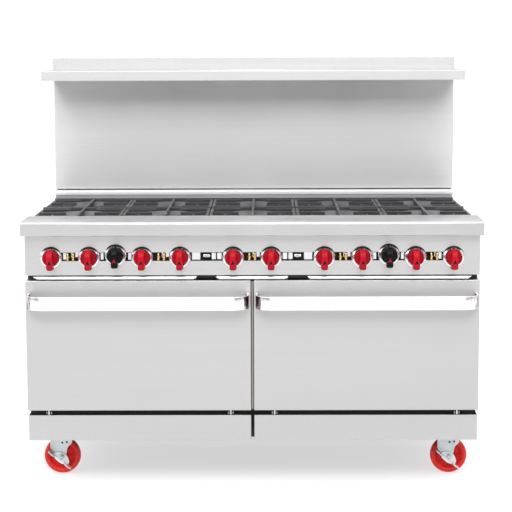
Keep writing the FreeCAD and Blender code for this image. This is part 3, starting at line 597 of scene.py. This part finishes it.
def build_knobs():
    """Ten red burner knobs and two black oven knobs, each with its pointer."""
    for body in BURNER_KNOBS + THERMOSTAT_KNOBS:
        slot, mark, disc = "red_knob", "black_knob", DISC_RED
        if body in THERMOSTAT_KNOBS:
            slot, mark, disc = mark, slot, None
        centre = pivot(body)
        stand = centre.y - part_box(body)[0].y - GRIP_REACH
        outward = basis(centre, OUT)
        bm = bmesh.new()
        knob_grip(bm, centre, stand)
        hub_end = stand + 0.008
        lathe(bm, [(0, 0.003), (0.012, 0.003), (0.0115, hub_end), (0, hub_end)], outward, 40)
        stem = [(0, -STEM_LENGTH), (STEM_RADIUS, -STEM_LENGTH), (STEM_RADIUS, 0.006), (0, 0.006)]
        lathe(bm, stem, outward, 24)
        finished(bm, body + "_moulding", body, slot, replaced=[body])
        bm = bmesh.new()
        knob_disc(bm, centre, stand)
        finished(bm, body + "_skirt", body, slot, 0.0, disc, [body])
        bm = bmesh.new()
        pointer(bm, centre, stand)
        finished(bm, body + "_pointer", body, mark)


def build_bezels():
    """The bright cone-sided rings behind the knobs, with painted shade on their upward faces."""
    profile = rounded_profile([
        (0.01, 0.0008), (0.01, 0.0), (0.037, 0.0), (0.0369, 0.0016), (0.0341, 0.0052),
        (0.0298, 0.0089), (0.0294, 0.0088), (0.0312, 0.0016), (0.01, 0.0014), (0.01, 0.0008),
    ], 0.001)
    for body in BURNER_KNOBS + THERMOSTAT_KNOBS:
        bm = bmesh.new()
        lathe(bm, profile, basis(pivot(body), OUT), 96)
        finished(bm, body.replace("knob", "bezel"), "range_body", "chrome",
                 material=TOP_SHADED_SATIN, replaced=["knob_bezels"])


# ---- door handles
HANDLE_BEND = 0.048
HANDLE_WALL = 0.007
HANDLE_CROWN = 0.0006
HANDLE_EASE = 0.0016
HANDLE_GAP = 0.0004
BEND_STEPS = 12


def handle_section(low, high, front, back):
    """A flat bar's section in (depth, height), with eased edges and a slight crown in front."""
    middle = (low + high) / 2
    points = [(front, low), (back, low), (back, high), (front, high)]
    section = []
    for a, b in rounded_loop(points, HANDLE_EASE, 3):
        in_front = a < (front + back) / 2
        crown = HANDLE_CROWN * (1 - ((b - middle) / (high - middle)) ** 2)
        section.append((a - crown * in_front, b))
    return section


def handle_bar(side, low, high):
    """The long flat grip between the two end castings."""
    front = low.y + HANDLE_CROWN
    section = handle_section(low.z, high.z, front, front + HANDLE_WALL)
    ends = (low.x + HANDLE_BEND + HANDLE_GAP, high.x - HANDLE_BEND - HANDLE_GAP)
    bm = bmesh.new()
    loft(bm, [[Vector((x, a, b)) for a, b in section] for x in ends])
    finished(bm, f"door_{side}_handle_bar", f"oven_door_{side}", "chrome",
             replaced=[f"door_{side}_handle"], material=HANDLE_PLATE)


def handle_casting(side, name, start, way, low, high):
    """An end casting that curves back to the door and spreads into a foot."""
    section = handle_section(low.z, high.z, HANDLE_CROWN, HANDLE_WALL)
    corner = Vector((start + way * HANDLE_BEND, low.y + HANDLE_BEND, 0))
    frames = []
    for n in range(BEND_STEPS + 1):
        turn = math.pi / 2 * (1 - n / BEND_STEPS)
        outward = Vector((-way * math.cos(turn), -math.sin(turn), 0))
        frames.append((corner + outward * HANDLE_BEND, -outward, 1.0))
    for share, flare in ((0.55, 1.0), (0.75, 1.04), (0.9, 1.12), (1.0, 1.16)):
        y = corner.y + (high.y - corner.y) * share
        frames.append((Vector((start, y, 0)), ALONG * way, flare))
    middle = (low.z + high.z) / 2
    sections = []
    for place, inward, flare in frames:
        loop = []
        for depth, height in section:
            point = place + inward * depth * (1 + (flare - 1) * 3)
            loop.append(Vector((point.x, point.y, middle + (height - middle) * flare)))
        sections.append(loop)
    bm = bmesh.new()
    loft(bm, sections)
    finished(bm, f"door_{side}_handle_casting_{name}", f"oven_door_{side}", "chrome",
             replaced=[f"door_{side}_handle"], material=CAST_CHROME)


def build_handles():
    """Each door's bar and its two end castings."""
    for side in ("left", "right"):
        low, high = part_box(f"door_{side}_handle")
        handle_bar(side, low, high)
        handle_casting(side, "left", low.x, 1, low, high)
        handle_casting(side, "right", high.x, -1, low, high)


# ---- grates and burners
BAR_STEPS = 8
GRATE_BAR = 0.012
SIDE_DROP = 0.003
SPINE = (0.01, 0.01)
SPINE_DEPTH = (0.02, 0.02)
FINGER_PITCH = 0.1016
FINGER_ROOT = 0.009
OUTER_FINGER_GAP = 0.046
MIDDLE_FINGER_GAP = 0.05
FINGER_WIDTHS = (0.0125, 0.0085)
FINGER_DEPTHS = (0.0215, 0.011)
BOWL_FOOT = 0.072
PORTS = 30
PORT_RADIUS = 0.0405
PORT_HALF = (0.003, 0.0022)


def cast_bar(bm, start, end, widths, depths, top):
    """A cast bar with a rounded top and drafted sides; widths and depths are at its two ends."""
    run = Vector(end) - Vector(start)
    along = run.normalized()
    side = along.cross(UP)
    sections = []
    for n in range(BAR_STEPS + 1):
        t = n / BAR_STEPS
        half = (widths[0] * (1 - t) + widths[1] * t) / 2
        deep = depths[0] * (1 - t) + depths[1] * t
        spine = Vector(start) + run * t
        right = [(half * 0.72, -deep), (half, -deep * 0.35), (half * 0.9, -0.0018), (half * 0.5, -0.0002)]
        left = [(-a, b) for a, b in reversed(right)]
        shape = left[-1:] + right + [(0, 0)] + left[:-1]
        sections.append([Vector((spine.x, spine.y, top)) + side * a + UP * b for a, b in shape])
    loft(bm, sections)


def grate_casting(name):
    """One grate: a frame, a spine over the burner, tapered fingers from each side and a bowl below."""
    low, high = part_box(name)
    centre = (low + high) / 2
    top = high.z
    deep = high.z - low.z
    inset = GRATE_BAR / 2
    square = (GRATE_BAR, GRATE_BAR)
    lowered = (deep - SIDE_DROP, deep - SIDE_DROP)
    bm = bmesh.new()
    for x in (low.x + inset, high.x - inset):
        cast_bar(bm, (x, low.y, 0), (x, high.y, 0), square, lowered, top - SIDE_DROP)
    for y in (low.y + inset, high.y - inset):
        cast_bar(bm, (low.x, y, 0), (high.x, y, 0), square, (deep, deep), top)
    cast_bar(bm, (centre.x, low.y, 0), (centre.x, high.y, 0), SPINE, SPINE_DEPTH, top)
    for step in (-1, 0, 1):
        y = centre.y + step * FINGER_PITCH
        reach = OUTER_FINGER_GAP if step else MIDDLE_FINGER_GAP
        for way, edge in ((-1, low.x), (1, high.x)):
            cast_bar(bm, (edge - way * FINGER_ROOT, y, 0), (centre.x + way * reach, y, 0),
                     FINGER_WIDTHS, FINGER_DEPTHS, top)
    finished(bm, name + "_casting", name, "cast_iron", replaced=[name])
    bm = bmesh.new()
    rim, wall, brim = BOWL_FOOT + 0.026, 0.003, -0.008
    bowl = [(BOWL_FOOT, 0.002 - deep), (rim, brim), (rim + wall, brim), (BOWL_FOOT + 0.004, 0.001 - deep)]
    lathe(bm, bowl + bowl[:1], basis((centre.x, centre.y, top), UP), 64)
    finished(bm, name + "_bowl", name, "cast_iron", 0.0, BOWL_IRON)


def burner_places():
    """The column and row of each burner."""
    return [(column, row) for column in range(1, 6) for row in ("front", "rear")]


def build_grates():
    """The ten grates."""
    for column, row in burner_places():
        grate_casting(f"grate_{column}_{row}")


def build_burner_ports():
    """The ring of flame ports round each burner head, as small raised teeth, and the head's cap."""
    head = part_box("burners")[1].z
    across, tall = PORT_HALF
    tooth = [(-across, -tall), (across, -tall), (across, tall), (-across, tall)]
    cap = rounded_profile([(0, 0.0012), (0.006, 0.0012), (0.009, 0.0), (0.009, -0.004)], 0.001)
    for column, row in burner_places():
        grate_low, grate_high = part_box(f"grate_{column}_{row}")
        centre = (grate_low + grate_high) / 2
        bm = bmesh.new()
        for n in range(PORTS):
            turn = math.tau * n / PORTS
            outward = Vector((math.cos(turn), math.sin(turn), 0))
            spot = Vector((centre.x, centre.y, head - 0.0085)) + outward * PORT_RADIUS
            slab(bm, tooth, 0.003, basis(spot, outward, UP))
        lathe(bm, cap, basis((centre.x, centre.y, head - 0.0025), UP), 32)
        finished(bm, f"burner_ports_{column}_{row}", "range_body", "burner_iron", 0.0005)


# ---- valves behind the slot
SLOT_HEIGHT = 0.029
BLOCK_BACK = 0.024
SHADE_SHEET_FRONT = 0.0272
SHADE_SHEET_BACK = 0.0282
NEAR_BLOCK = (0.0365, 0.018)
NEXT_BLOCK = (0.057, 0.016)
THERMOSTAT_BLOCK = (0.04, 0.016)
UNION_BLOCK = (0.02, 0.032)
UNION_LENGTH = 0.014
UNION_RADIUS = 0.011
CAPILLARY_RADIUS = 0.0022
PILOT_TUBE_RADIUS = 0.0026


def pilot_fitting(bm, foot):
    """A pilot valve: a hexagon base and a round bonnet with a domed screw, standing on its foot."""
    slab(bm, hexagon(0.0062), 0.007, basis(foot, UP, (1, 0, 0)))
    bonnet = rounded_profile([
        (0, 0.0068), (0.0038, 0.0068), (0.0038, 0.01), (0.0052, 0.0112), (0.0054, 0.02),
        (0.0036, 0.0248), (0, 0.0256),
    ], 0.0012)
    lathe(bm, bonnet, basis(foot, UP), 32)


def threaded_union(bm, centre, length, radius):
    """A pipe union along X: a threaded sleeve between two plain collars."""
    turns = 9
    step = length / turns
    half, collar = length / 2, radius * 0.8
    end = half + 0.004
    profile = [(0, -end), (collar, -end), (collar, -half)]
    for n in range(turns):
        start = n * step - half
        profile += [(radius * 0.9, start), (radius, start + step * 0.35), (radius, start + step * 0.65)]
    profile += [(collar, half), (collar, end), (0, end)]
    lathe(bm, profile, basis(centre, ALONG), 40)


def block(bm, x, way, span, low, high, radius):
    """A cast body whose sides are a start and a width away from x; low and high are (y, z)."""
    start, width = span
    near, far = sorted((x + way * start, x + way * (start + width)))
    rounded_box(bm, (near, *low), (far, *high), radius)


def valve_blocks(bm, face, level):
    """The cast bodies beside the knobs, as far as the slot shows them."""
    front = (face + 0.01, level - 0.011)
    back = (face + BLOCK_BACK, level + 0.012)
    for number, way, spans in (
        (1, 1, [NEAR_BLOCK]), (5, -1, [NEAR_BLOCK, NEXT_BLOCK]),
        (6, 1, [NEAR_BLOCK, NEXT_BLOCK]), (10, -1, [NEAR_BLOCK]),
    ):
        for span in spans:
            block(bm, pivot(f"burner_knob_{number}").x, way, span, front, back, 0.003)
    for name in THERMOSTAT_KNOBS:
        for way in (-1, 1):
            block(bm, pivot(name).x, way, THERMOSTAT_BLOCK, (face + 0.012, level - 0.012), back, 0.002)


def gas_union(side, way, pitch, face, level):
    """The union and its block beside the range's middle, and the capillary behind the slot."""
    x = way * pitch / 2
    bm = bmesh.new()
    threaded_union(bm, Vector((x, face + 0.019, level + 0.001)), UNION_LENGTH, UNION_RADIUS)
    block(bm, x, way, UNION_BLOCK, (face + 0.01, level - 0.012), (face + BLOCK_BACK, level + 0.013), 0.004)
    finished(bm, f"gas_union_{side}", "range_body", "zinc", 0.0005, ALUMINIUM)
    bends = [(0.02, 0.024, -0.004), (0.048, 0.021, 0.01), (0.07, 0.02, -0.002),
             (0.084, 0.028, -0.02), (0.09, 0.03, -0.04)]
    points = [Vector((way * (pitch * 1.5 - a), face + b, level + c)) for a, b, c in bends]
    tube(f"capillary_{side}", points, CAPILLARY_RADIUS, "range_body", "black_pipe")


def pilot_bracket(bm, x, face, level):
    """The pale plate behind a pair of pilot valves, folded at its upper edge."""
    left, right, back, top = x + 0.001, x + 0.03, face + 0.024, level + 0.0125
    rounded_box(bm, (left, face + 0.0215, level - 0.004), (right, back, top), 0.001)
    rounded_box(bm, (left, face + 0.019, level + 0.011), (right, back, top), 0.001)


def pilot_pair(number, face, level):
    """Two pilot valves midway between two knobs, with their bracket and tubes."""
    x = (pivot(f"burner_knob_{2 * number - 1}").x + pivot(f"burner_knob_{2 * number}").x) / 2
    bm = bmesh.new()
    pilot_bracket(bm, x, face, level)
    finished(bm, f"pilot_bracket_{number}", "range_body", "zinc", 0.0003, ALUMINIUM)
    for side, way in (("left", -1), ("right", 1)):
        foot = Vector((x + way * 0.0095, face + 0.0115, level - SLOT_HEIGHT / 2 + 0.0008))
        bm = bmesh.new()
        pilot_fitting(bm, foot)
        slab(bm, hexagon(0.005), 0.014, basis(foot + Vector((0, 0.004, 0.0045)), DEEP))
        finished(bm, f"pilot_valve_{number}_{side}", "range_body", "brass", 0.0004)
        start = foot + Vector((0, 0.016, 0.012))
        bends = [(0, 0, 0), (0, 0, 0.018), (0.012, 0.014, 0.034), (0.012, 0.06, 0.036), (0.012, 0.11, 0.046)]
        points = [start + Vector((way * a, b, c)) for a, b, c in bends]
        tube(f"pilot_tube_{number}_{side}", points, PILOT_TUBE_RADIUS, "range_body", "zinc", ALUMINIUM)


def build_gas_train():
    """Valve bodies, pilot valves, tubes and unions that show through the panel's slot, in front of a near-black
    sheet of painted shade.
    """
    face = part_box("control_panel")[0].y
    level = pivot("burner_knob_1").z + 0.0025
    low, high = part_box("gas_manifold")
    # A near-black sheet behind the slot: painted shade for the dark space behind the valves.
    bm = bmesh.new()
    rounded_box(bm, (low.x + 0.02, face + SHADE_SHEET_FRONT, level - 0.026),
                (high.x - 0.04, face + SHADE_SHEET_BACK, level + 0.03))
    finished(bm, "slot_shade_sheet", "range_body", "frame_steel")
    bm = bmesh.new()
    valve_blocks(bm, face, level)
    finished(bm, "valve_bodies", "range_body", "zinc", 0.0008, ALUMINIUM)
    pitch = pivot("burner_knob_3").x - pivot("burner_knob_1").x
    for side, way in (("left", -1), ("right", 1)):
        gas_union(side, way, pitch, face, level)
    for number in range(1, 6):
        pilot_pair(number, face, level)


# ---- sheet-metal trims
RISER_TOP = 0.933
RISER_FOOT = 0.88
CAP_FOOT = RISER_TOP - 0.0175
LIP_CENTRE = 0.46
LIP_HEIGHT = 0.56
LIP_DEPTH = 0.0035
LIP_TAPER = 0.016
LIP_STEPS = 12


def half_round(bm, x0, x1, centre, height, depth, taper):
    """A strip along X with a rounded front; taper cuts its ends in at the bottom."""
    outline = []
    for n in range(LIP_STEPS + 1):
        turn = math.pi * (n / LIP_STEPS - 0.5)
        outline.append((centre.y - depth * math.cos(turn), centre.z + height / 2 * math.sin(turn)))
    outline.append((centre.y + 0.0006, centre.z + height / 2))
    outline.append((centre.y + 0.0006, centre.z - height / 2))
    sections = []
    for x, way in ((x0, 1), (x1, -1)):
        lowered = [(x + way * taper * (0.5 - (b - centre.z) / height), a, b) for a, b in outline]
        sections.append([Vector(point) for point in lowered])
    loft(bm, sections)


def riser_cap():
    """The bright strip along the riser's top edge, and the sheet below it, darkened with painted shade."""
    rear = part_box("grate_3_rear")[1].y
    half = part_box("rear_panel")[1].x
    back, foot, head = rear + 0.0016, rear + 0.0004, rear + 0.0012
    section = [(back, RISER_TOP), (back, CAP_FOOT), (foot, RISER_TOP - 0.0172), (foot, RISER_TOP - 0.015),
               (head, RISER_TOP - 0.0006)]
    bm = bmesh.new()
    loft(bm, [[Vector((x, a, b)) for a, b in section] for x in (-half, half)])
    finished(bm, "riser_cap", "range_body", "stainless", 0.0, FROSTED)
    # the riser sheet below the cap, darkened with painted shade
    bm = bmesh.new()
    rounded_box(bm, (0.003 - half, rear + 0.0028, RISER_FOOT),
                (half - 0.003, rear + 0.0036, CAP_FOOT - 0.0001))
    finished(bm, "riser_panel", "range_body", "stainless", 0.0, SHADED_RISER_STEEL)


def build_trims():
    """The rolled lips of the crumb trays, the riser's cap and the strip between the doors."""
    panel_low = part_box("control_panel")[0]
    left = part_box("door_left_panel")
    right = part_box("door_right_panel")
    face = panel_low.y
    gap = panel_low.z - left[1].z
    for name in ("left", "centre", "right"):
        low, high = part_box(f"crumb_tray_{name}")
        bm = bmesh.new()
        middle = Vector((0, face - 0.0012, panel_low.z - gap * LIP_CENTRE))
        half_round(bm, low.x + 0.0004, high.x - 0.0004, middle, gap * LIP_HEIGHT, LIP_DEPTH, LIP_TAPER)
        finished(bm, f"crumb_tray_{name}_lip", f"crumb_tray_{name}", "galvanised", 0.0004, SATIN)
    riser_cap()
    inset = 0.0012
    bm = bmesh.new()
    rounded_box(bm, (left[1].x + inset, face + 0.0065, left[0].z + 0.004),
                (right[0].x - inset, face + 0.057, left[1].z - 0.004), 0.0012)
    finished(bm, "mullion_strip", "range_body", "stainless", 0.0, MULLION)


# ---- casters
CASTERS = [f"{row}_{side}" for row in ("front", "rear") for side in ("left", "right")]
CORE_RIBS = 8
RIB_DEPTH = 0.0045
RIB_HALF = 0.0016
LEG_INNER = 0.0192
LEG_OUTER = 0.0228
LEG_FACE = 0.0226
BOLT_HEX = 0.0092
BOLT_REACH = 0.0275
BRAKE_LEAN = math.radians(-38.5)
PEDAL_HALF = 0.0495
PEDAL_WAIST = 0.006
PEDAL_STEPS = 24


def mirrored(side, half):
    """A closed profile from one side's (radius, height above its face) points and their mirror image."""
    profile = [(a, b - half) for a, b in side] + [(a, half - b) for a, b in reversed(side)]
    return profile + profile[:1]


def build_wheel(name):
    """A red tyre on a darker ribbed core, with a steel bearing."""
    body = f"caster_{name}_wheel"
    low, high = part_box(body)
    centre = (low + high) / 2
    radius = (high.z - low.z) / 2
    half = (high.y - low.y) / 2
    place = basis(centre, DEEP, UP)
    bm = bmesh.new()
    front = [(0.0165, 0.002), (0.013, 0), (0.0105, 0.0002), (0.0098, 0.0016), (0.009, 0.0003),
             (0.0065, 0.0006), (0.0012, 0.0055)]
    back = [(0.0012, 0.0055), (0.0065, 0.0006), (0.013, 0), (0.0165, 0.002), (0.0175, 0.007)]
    tread = [(radius - a, b - half) for a, b in front] + [(radius, -half * 0.35), (radius, half * 0.35)]
    tread += [(radius - a, half - b) for a, b in back] + [(radius - 0.0175, 0.007 - half)]
    tread.append(tread[0])
    lathe(bm, rounded_profile(tread, 0.002), place, 96)
    finished(bm, f"{body}_tyre", body, "red_wheel", replaced=[body])
    bm = bmesh.new()
    rim = radius - 0.0174
    core = [(0.0135, 0.0015), (0.0175, 0.002), (0.0205, 0.0085), (rim - 0.006, 0.0085),
            (rim - 0.003, 0.003), (rim, 0.003)]
    lathe(bm, rounded_profile(mirrored(core, half), 0.0015), place, 96)
    outer = rim - 0.004
    rib = [(0.018, -RIB_HALF), (outer, -RIB_HALF), (outer, RIB_HALF), (0.018, RIB_HALF)]
    for n in range(CORE_RIBS):
        turn = Matrix.Rotation(math.tau * n / CORE_RIBS, 4, "Z")
        for base in (0.009 - half - RIB_DEPTH, half - 0.009):
            slab(bm, rib, RIB_DEPTH, place @ turn @ Matrix.Translation((0, 0, base)))
    finished(bm, f"{body}_core", body, "red_wheel", 0.0004, CORE_RED)
    bm = bmesh.new()
    hub = [(0.0051, 0), (0.0095, 0), (0.0095, 0.001), (0.0134, 0.0015)]
    lathe(bm, rounded_profile(mirrored(hub, half), 0.0006, 2), place, 48)
    finished(bm, f"{body}_bearing", body, "zinc")


def fork_leg(bm, swivel, axle, inner, outer, rim):
    """One pressed leg, wide at the crown and narrowing to the axle, where a boss stands out by rim."""
    low = swivel.z - 0.0224
    outline = [
        (swivel.x - 0.033, low + 0.004), (swivel.x + 0.034, low + 0.004), (axle.x + 0.038, axle.z + 0.05),
        (axle.x + 0.02, axle.z + 0.032), (axle.x + 0.0155, axle.z + 0.01), (axle.x + 0.013, axle.z - 0.01),
        (axle.x, axle.z - 0.0155), (axle.x - 0.013, axle.z - 0.01), (swivel.x - 0.033, axle.z + 0.024),
    ]
    outline = rounded_loop(outline, 0.007, 5)
    placement = Matrix(((1, 0, 0, 0), (0, 0, 1, inner), (0, 1, 0, 0), (0, 0, 0, 1)))
    slab(bm, outline, outer - inner, placement)
    boss = [(0, 0), (0.0135, 0), (0.0135, rim * 0.6), (0.0125, rim), (0, rim)]
    lathe(bm, boss, basis((axle.x, outer, axle.z), DEEP), 48)


def build_fork(name):
    """A swivel fork: a dished crown, two ribbed and riveted legs, the axle bolt and its nut."""
    body = f"caster_{name}_fork"
    braked = name.startswith("front")
    swivel = pivot(body)
    axle = pivot(f"caster_{name}_wheel")
    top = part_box(body)[1].z
    crown_z = top - 0.007
    bm = bmesh.new()
    crown = rounded_profile([
        (0.0061, 0.0), (0.0335, 0.0), (0.04, 0.0005), (0.04, 0.0035), (0.0345, 0.0069), (0.0061, 0.0069),
    ], 0.0016)
    crown.append(crown[0])
    lathe(bm, crown, basis((swivel.x, swivel.y, crown_z), UP), 72)
    swivel_top = Vector((swivel.x, swivel.y, top + 0.0154))
    for way in (-1, 1):
        rim, rib = (0.0004, 0.0233) if braked and way < 0 else (0.0022, 0.0242)
        fork_leg(bm, swivel_top, axle, axle.y + way * LEG_INNER, axle.y + way * LEG_OUTER, way * rim)
        near, far = sorted((axle.y + way * LEG_FACE, axle.y + way * rib))
        for start, width in ((-0.031, 0.0045), (-0.0125, 0.0045), (0.012, 0.0035)):
            rounded_box(bm, (axle.x + start, near, axle.z + 0.037),
                        (axle.x + start + width, far, top - 0.009), 0.0006)
    finished(bm, f"{body}_yoke", body, "zinc", 0.0009, replaced=[body])
    bm = bmesh.new()
    rivet = [(0, 0), (0.0038, 0), (0.0034, 0.0009), (0, 0.001)]
    for across, height in ((0.002, 0.049), (0.0175, 0.0505)):
        for way in (-1, 1):
            spot = (axle.x + across, axle.y + way * LEG_FACE, axle.z + height)
            lathe(bm, rivet, basis(spot, (0, way, 0)), 24)
    finished(bm, f"{body}_rivets", body, "black_pipe")
    bm = bmesh.new()
    tip = axle + OUT * BOLT_REACH
    nut(bm, basis(tip, OUT, UP), BOLT_HEX, 0.0064)
    slab(bm, hexagon(BOLT_HEX), 0.0055, basis(axle + DEEP * 0.025, DEEP, UP))
    lathe(bm, [(0, 0), (0.0049, 0), (0.0049, 0.054), (0, 0.054)], basis(tip, DEEP), 32)
    finished(bm, f"{body}_axle_bolt", body, "zinc", 0.0004)


def build_brake(side):
    """The front casters' brake: a lens-shaped cam plate and a blade that widens to a pad at each end."""
    body = f"caster_front_{side}_brake"
    axle = pivot(body)
    low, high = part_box(body)
    flat = Matrix(((1, 0, 0, axle.x), (0, 0, -1, high.y), (0, 1, 0, axle.z), (0, 0, 0, 1)))
    placement = flat @ Matrix.Rotation(BRAKE_LEAN, 4, "Z")
    bm = bmesh.new()
    cam = [(-0.031, -0.011), (-0.014, -0.0215), (0.012, -0.0225), (0.036, -0.011), (0.031, 0.002),
           (0.014, 0.0135), (-0.008, 0.0135), (-0.025, 0.001)]
    slab(bm, rounded_loop(cam, 0.007, 5), 0.003, placement)
    washer = [(0.0052, 0.0028), (0.0115, 0.0028), (0.0112, 0.0038), (0.0052, 0.0038)]
    lathe(bm, rounded_profile(washer, 0.0004, 2), placement, 40)
    spread = high.y - low.y - PEDAL_WAIST
    sections = []
    for n in range(PEDAL_STEPS + 1):
        u = PEDAL_HALF * (2 * n / PEDAL_STEPS - 1)
        share = abs(u) / PEDAL_HALF
        front = 0.0016 * share ** 4 - 0.0133
        widening = min(1.0, max(0.0, (share - 0.26) / 0.34))
        reach = PEDAL_WAIST + spread * widening ** 2 * (3 - 2 * widening) - 0.002 * share ** 3
        corners = [(front, 0.0), (front, reach), (front + 0.003, reach), (front + 0.003, 0.0)]
        sections.append([placement @ Vector((u, v, w)) for v, w in corners])
    loft(bm, sections)
    finished(bm, f"{body}_pedal", body, "zinc", 0.0007, PEDAL_ZINC, [body])


def build_casters():
    """Four wheels and forks, and the two front brakes."""
    for name in CASTERS:
        build_wheel(name)
        build_fork(name)
    for side in ("left", "right"):
        build_brake(side)


# ---- studio
FRONT_LOW = 0.4
FRONT_HIGH = 2.1
REAR_LOW = 1.06
REAR_HIGH = 1.9
FLOOR_REACH = 30.0
FLOOR_FRONT = -15.0
FLOOR_GLOW = 0.58
CAMERA_PLACE = (0.0498, -5.3454, 1.5165)
CAMERA_TURN = (-0.0073, 0.1184, -0.0035)


def build_floor():
    """A plain pale floor that glows a little, so that it stays white round a soft shadow."""
    bm = bmesh.new()
    far = FLOOR_REACH
    corners = [(-far, FLOOR_FRONT), (far, FLOOR_FRONT), (far, far), (-far, far)]
    bm.faces.new([bm.verts.new((x, y, 0)) for x, y in corners])
    mesh = bpy.data.meshes.new("studio_floor")
    bm.to_mesh(mesh)
    bm.free()
    floor = bpy.data.objects.new("studio_floor", mesh)
    COLLECTION.objects.link(floor)
    finish = Finish("studio_paper", (0.36, 0.36, 0.363), 0.0, 0.9)
    grain = finish.noise(3, detail=3.0)
    finish.paint(finish.blend(grain, finish.shade(0.99), finish.shade(1.01)))
    finish.set("Emission Color", (1.0, 1.0, 1.0, 1.0))
    finish.set("Emission Strength", FLOOR_GLOW)
    mesh.materials.append(finish.material)


def area_light(name, place, target, size, power):
    """A rectangular soft box aimed at a point."""
    light = bpy.data.lights.new(name, "AREA")
    light.shape = "RECTANGLE"
    light.size, light.size_y = size
    light.energy = power
    lamp = bpy.data.objects.new(name, light)
    lamp.location = place
    lamp.rotation_euler = (Vector(target) - Vector(place)).to_track_quat("-Z", "Y").to_euler()
    COLLECTION.objects.link(lamp)


def build_lights():
    """A studio lit from above and behind, dim in front at eye level, with two soft boxes."""
    world = bpy.data.worlds.new("studio")
    world.use_nodes = True
    bpy.context.scene.world = world
    tree = world.node_tree
    background = tree.nodes["Background"]
    background.inputs["Color"].default_value = (0.985, 0.99, 1.0, 1.0)
    place = tree.nodes.new("ShaderNodeTexCoord")
    split = tree.nodes.new("ShaderNodeSeparateXYZ")
    tree.links.new(place.outputs["Generated"], split.inputs["Vector"])

    def ramp(axis, low, high, start, end):
        """A smooth change along one axis of the direction looked in."""
        return map_range(tree, split.outputs[axis], (low, high, start, end), "SMOOTHSTEP")

    mix = tree.nodes.new("ShaderNodeMix")
    tree.links.new(ramp("Y", -0.3, 0.35, 0.0, 1.0), mix.inputs["Factor"])
    tree.links.new(ramp("Z", 0.1, 0.6, FRONT_LOW, FRONT_HIGH), mix.inputs["A"])
    tree.links.new(ramp("Z", 0.2, 0.7, REAR_LOW, REAR_HIGH), mix.inputs["B"])
    tree.links.new(mix.outputs[0], background.inputs["Strength"])
    area_light("front_ceiling", (0, -3.0, 3.0), (0, 0.3, 1.0), (4.4, 1.5), 72)
    area_light("side_box", (-3.4, -1.6, 2.2), (0, 0, 0.7), (1.6, 2.2), 30)


def build_camera():
    """The viewpoint: in front, a little above the shelf, looking slightly down."""
    data = bpy.data.cameras.new("camera")
    data.sensor_width = 36.0
    data.lens = 105.6
    data.shift_y = -0.08
    data.clip_end = 100.0
    camera = bpy.data.objects.new("camera", data)
    COLLECTION.objects.link(camera)
    yaw, pitch, roll = CAMERA_TURN
    level = math.cos(pitch)
    forward = Vector((math.sin(yaw) * level, math.cos(yaw) * level, -math.sin(pitch)))
    right = Vector((math.cos(yaw), -math.sin(yaw), 0))
    up = right.cross(forward)
    rolled = right * math.cos(roll) + up * math.sin(roll)
    up = up * math.cos(roll) - right * math.sin(roll)
    camera.matrix_world = Matrix((rolled, up, -forward)).transposed().to_4x4()
    camera.location = CAMERA_PLACE
    bpy.context.scene.camera = camera


finish_cad_nodes()
build_knobs()
build_bezels()
build_handles()
build_grates()
build_burner_ports()
build_gas_train()
build_trims()
build_casters()
build_floor()
build_lights()
build_camera()
bpy.context.scene.view_settings.view_transform = "Standard"
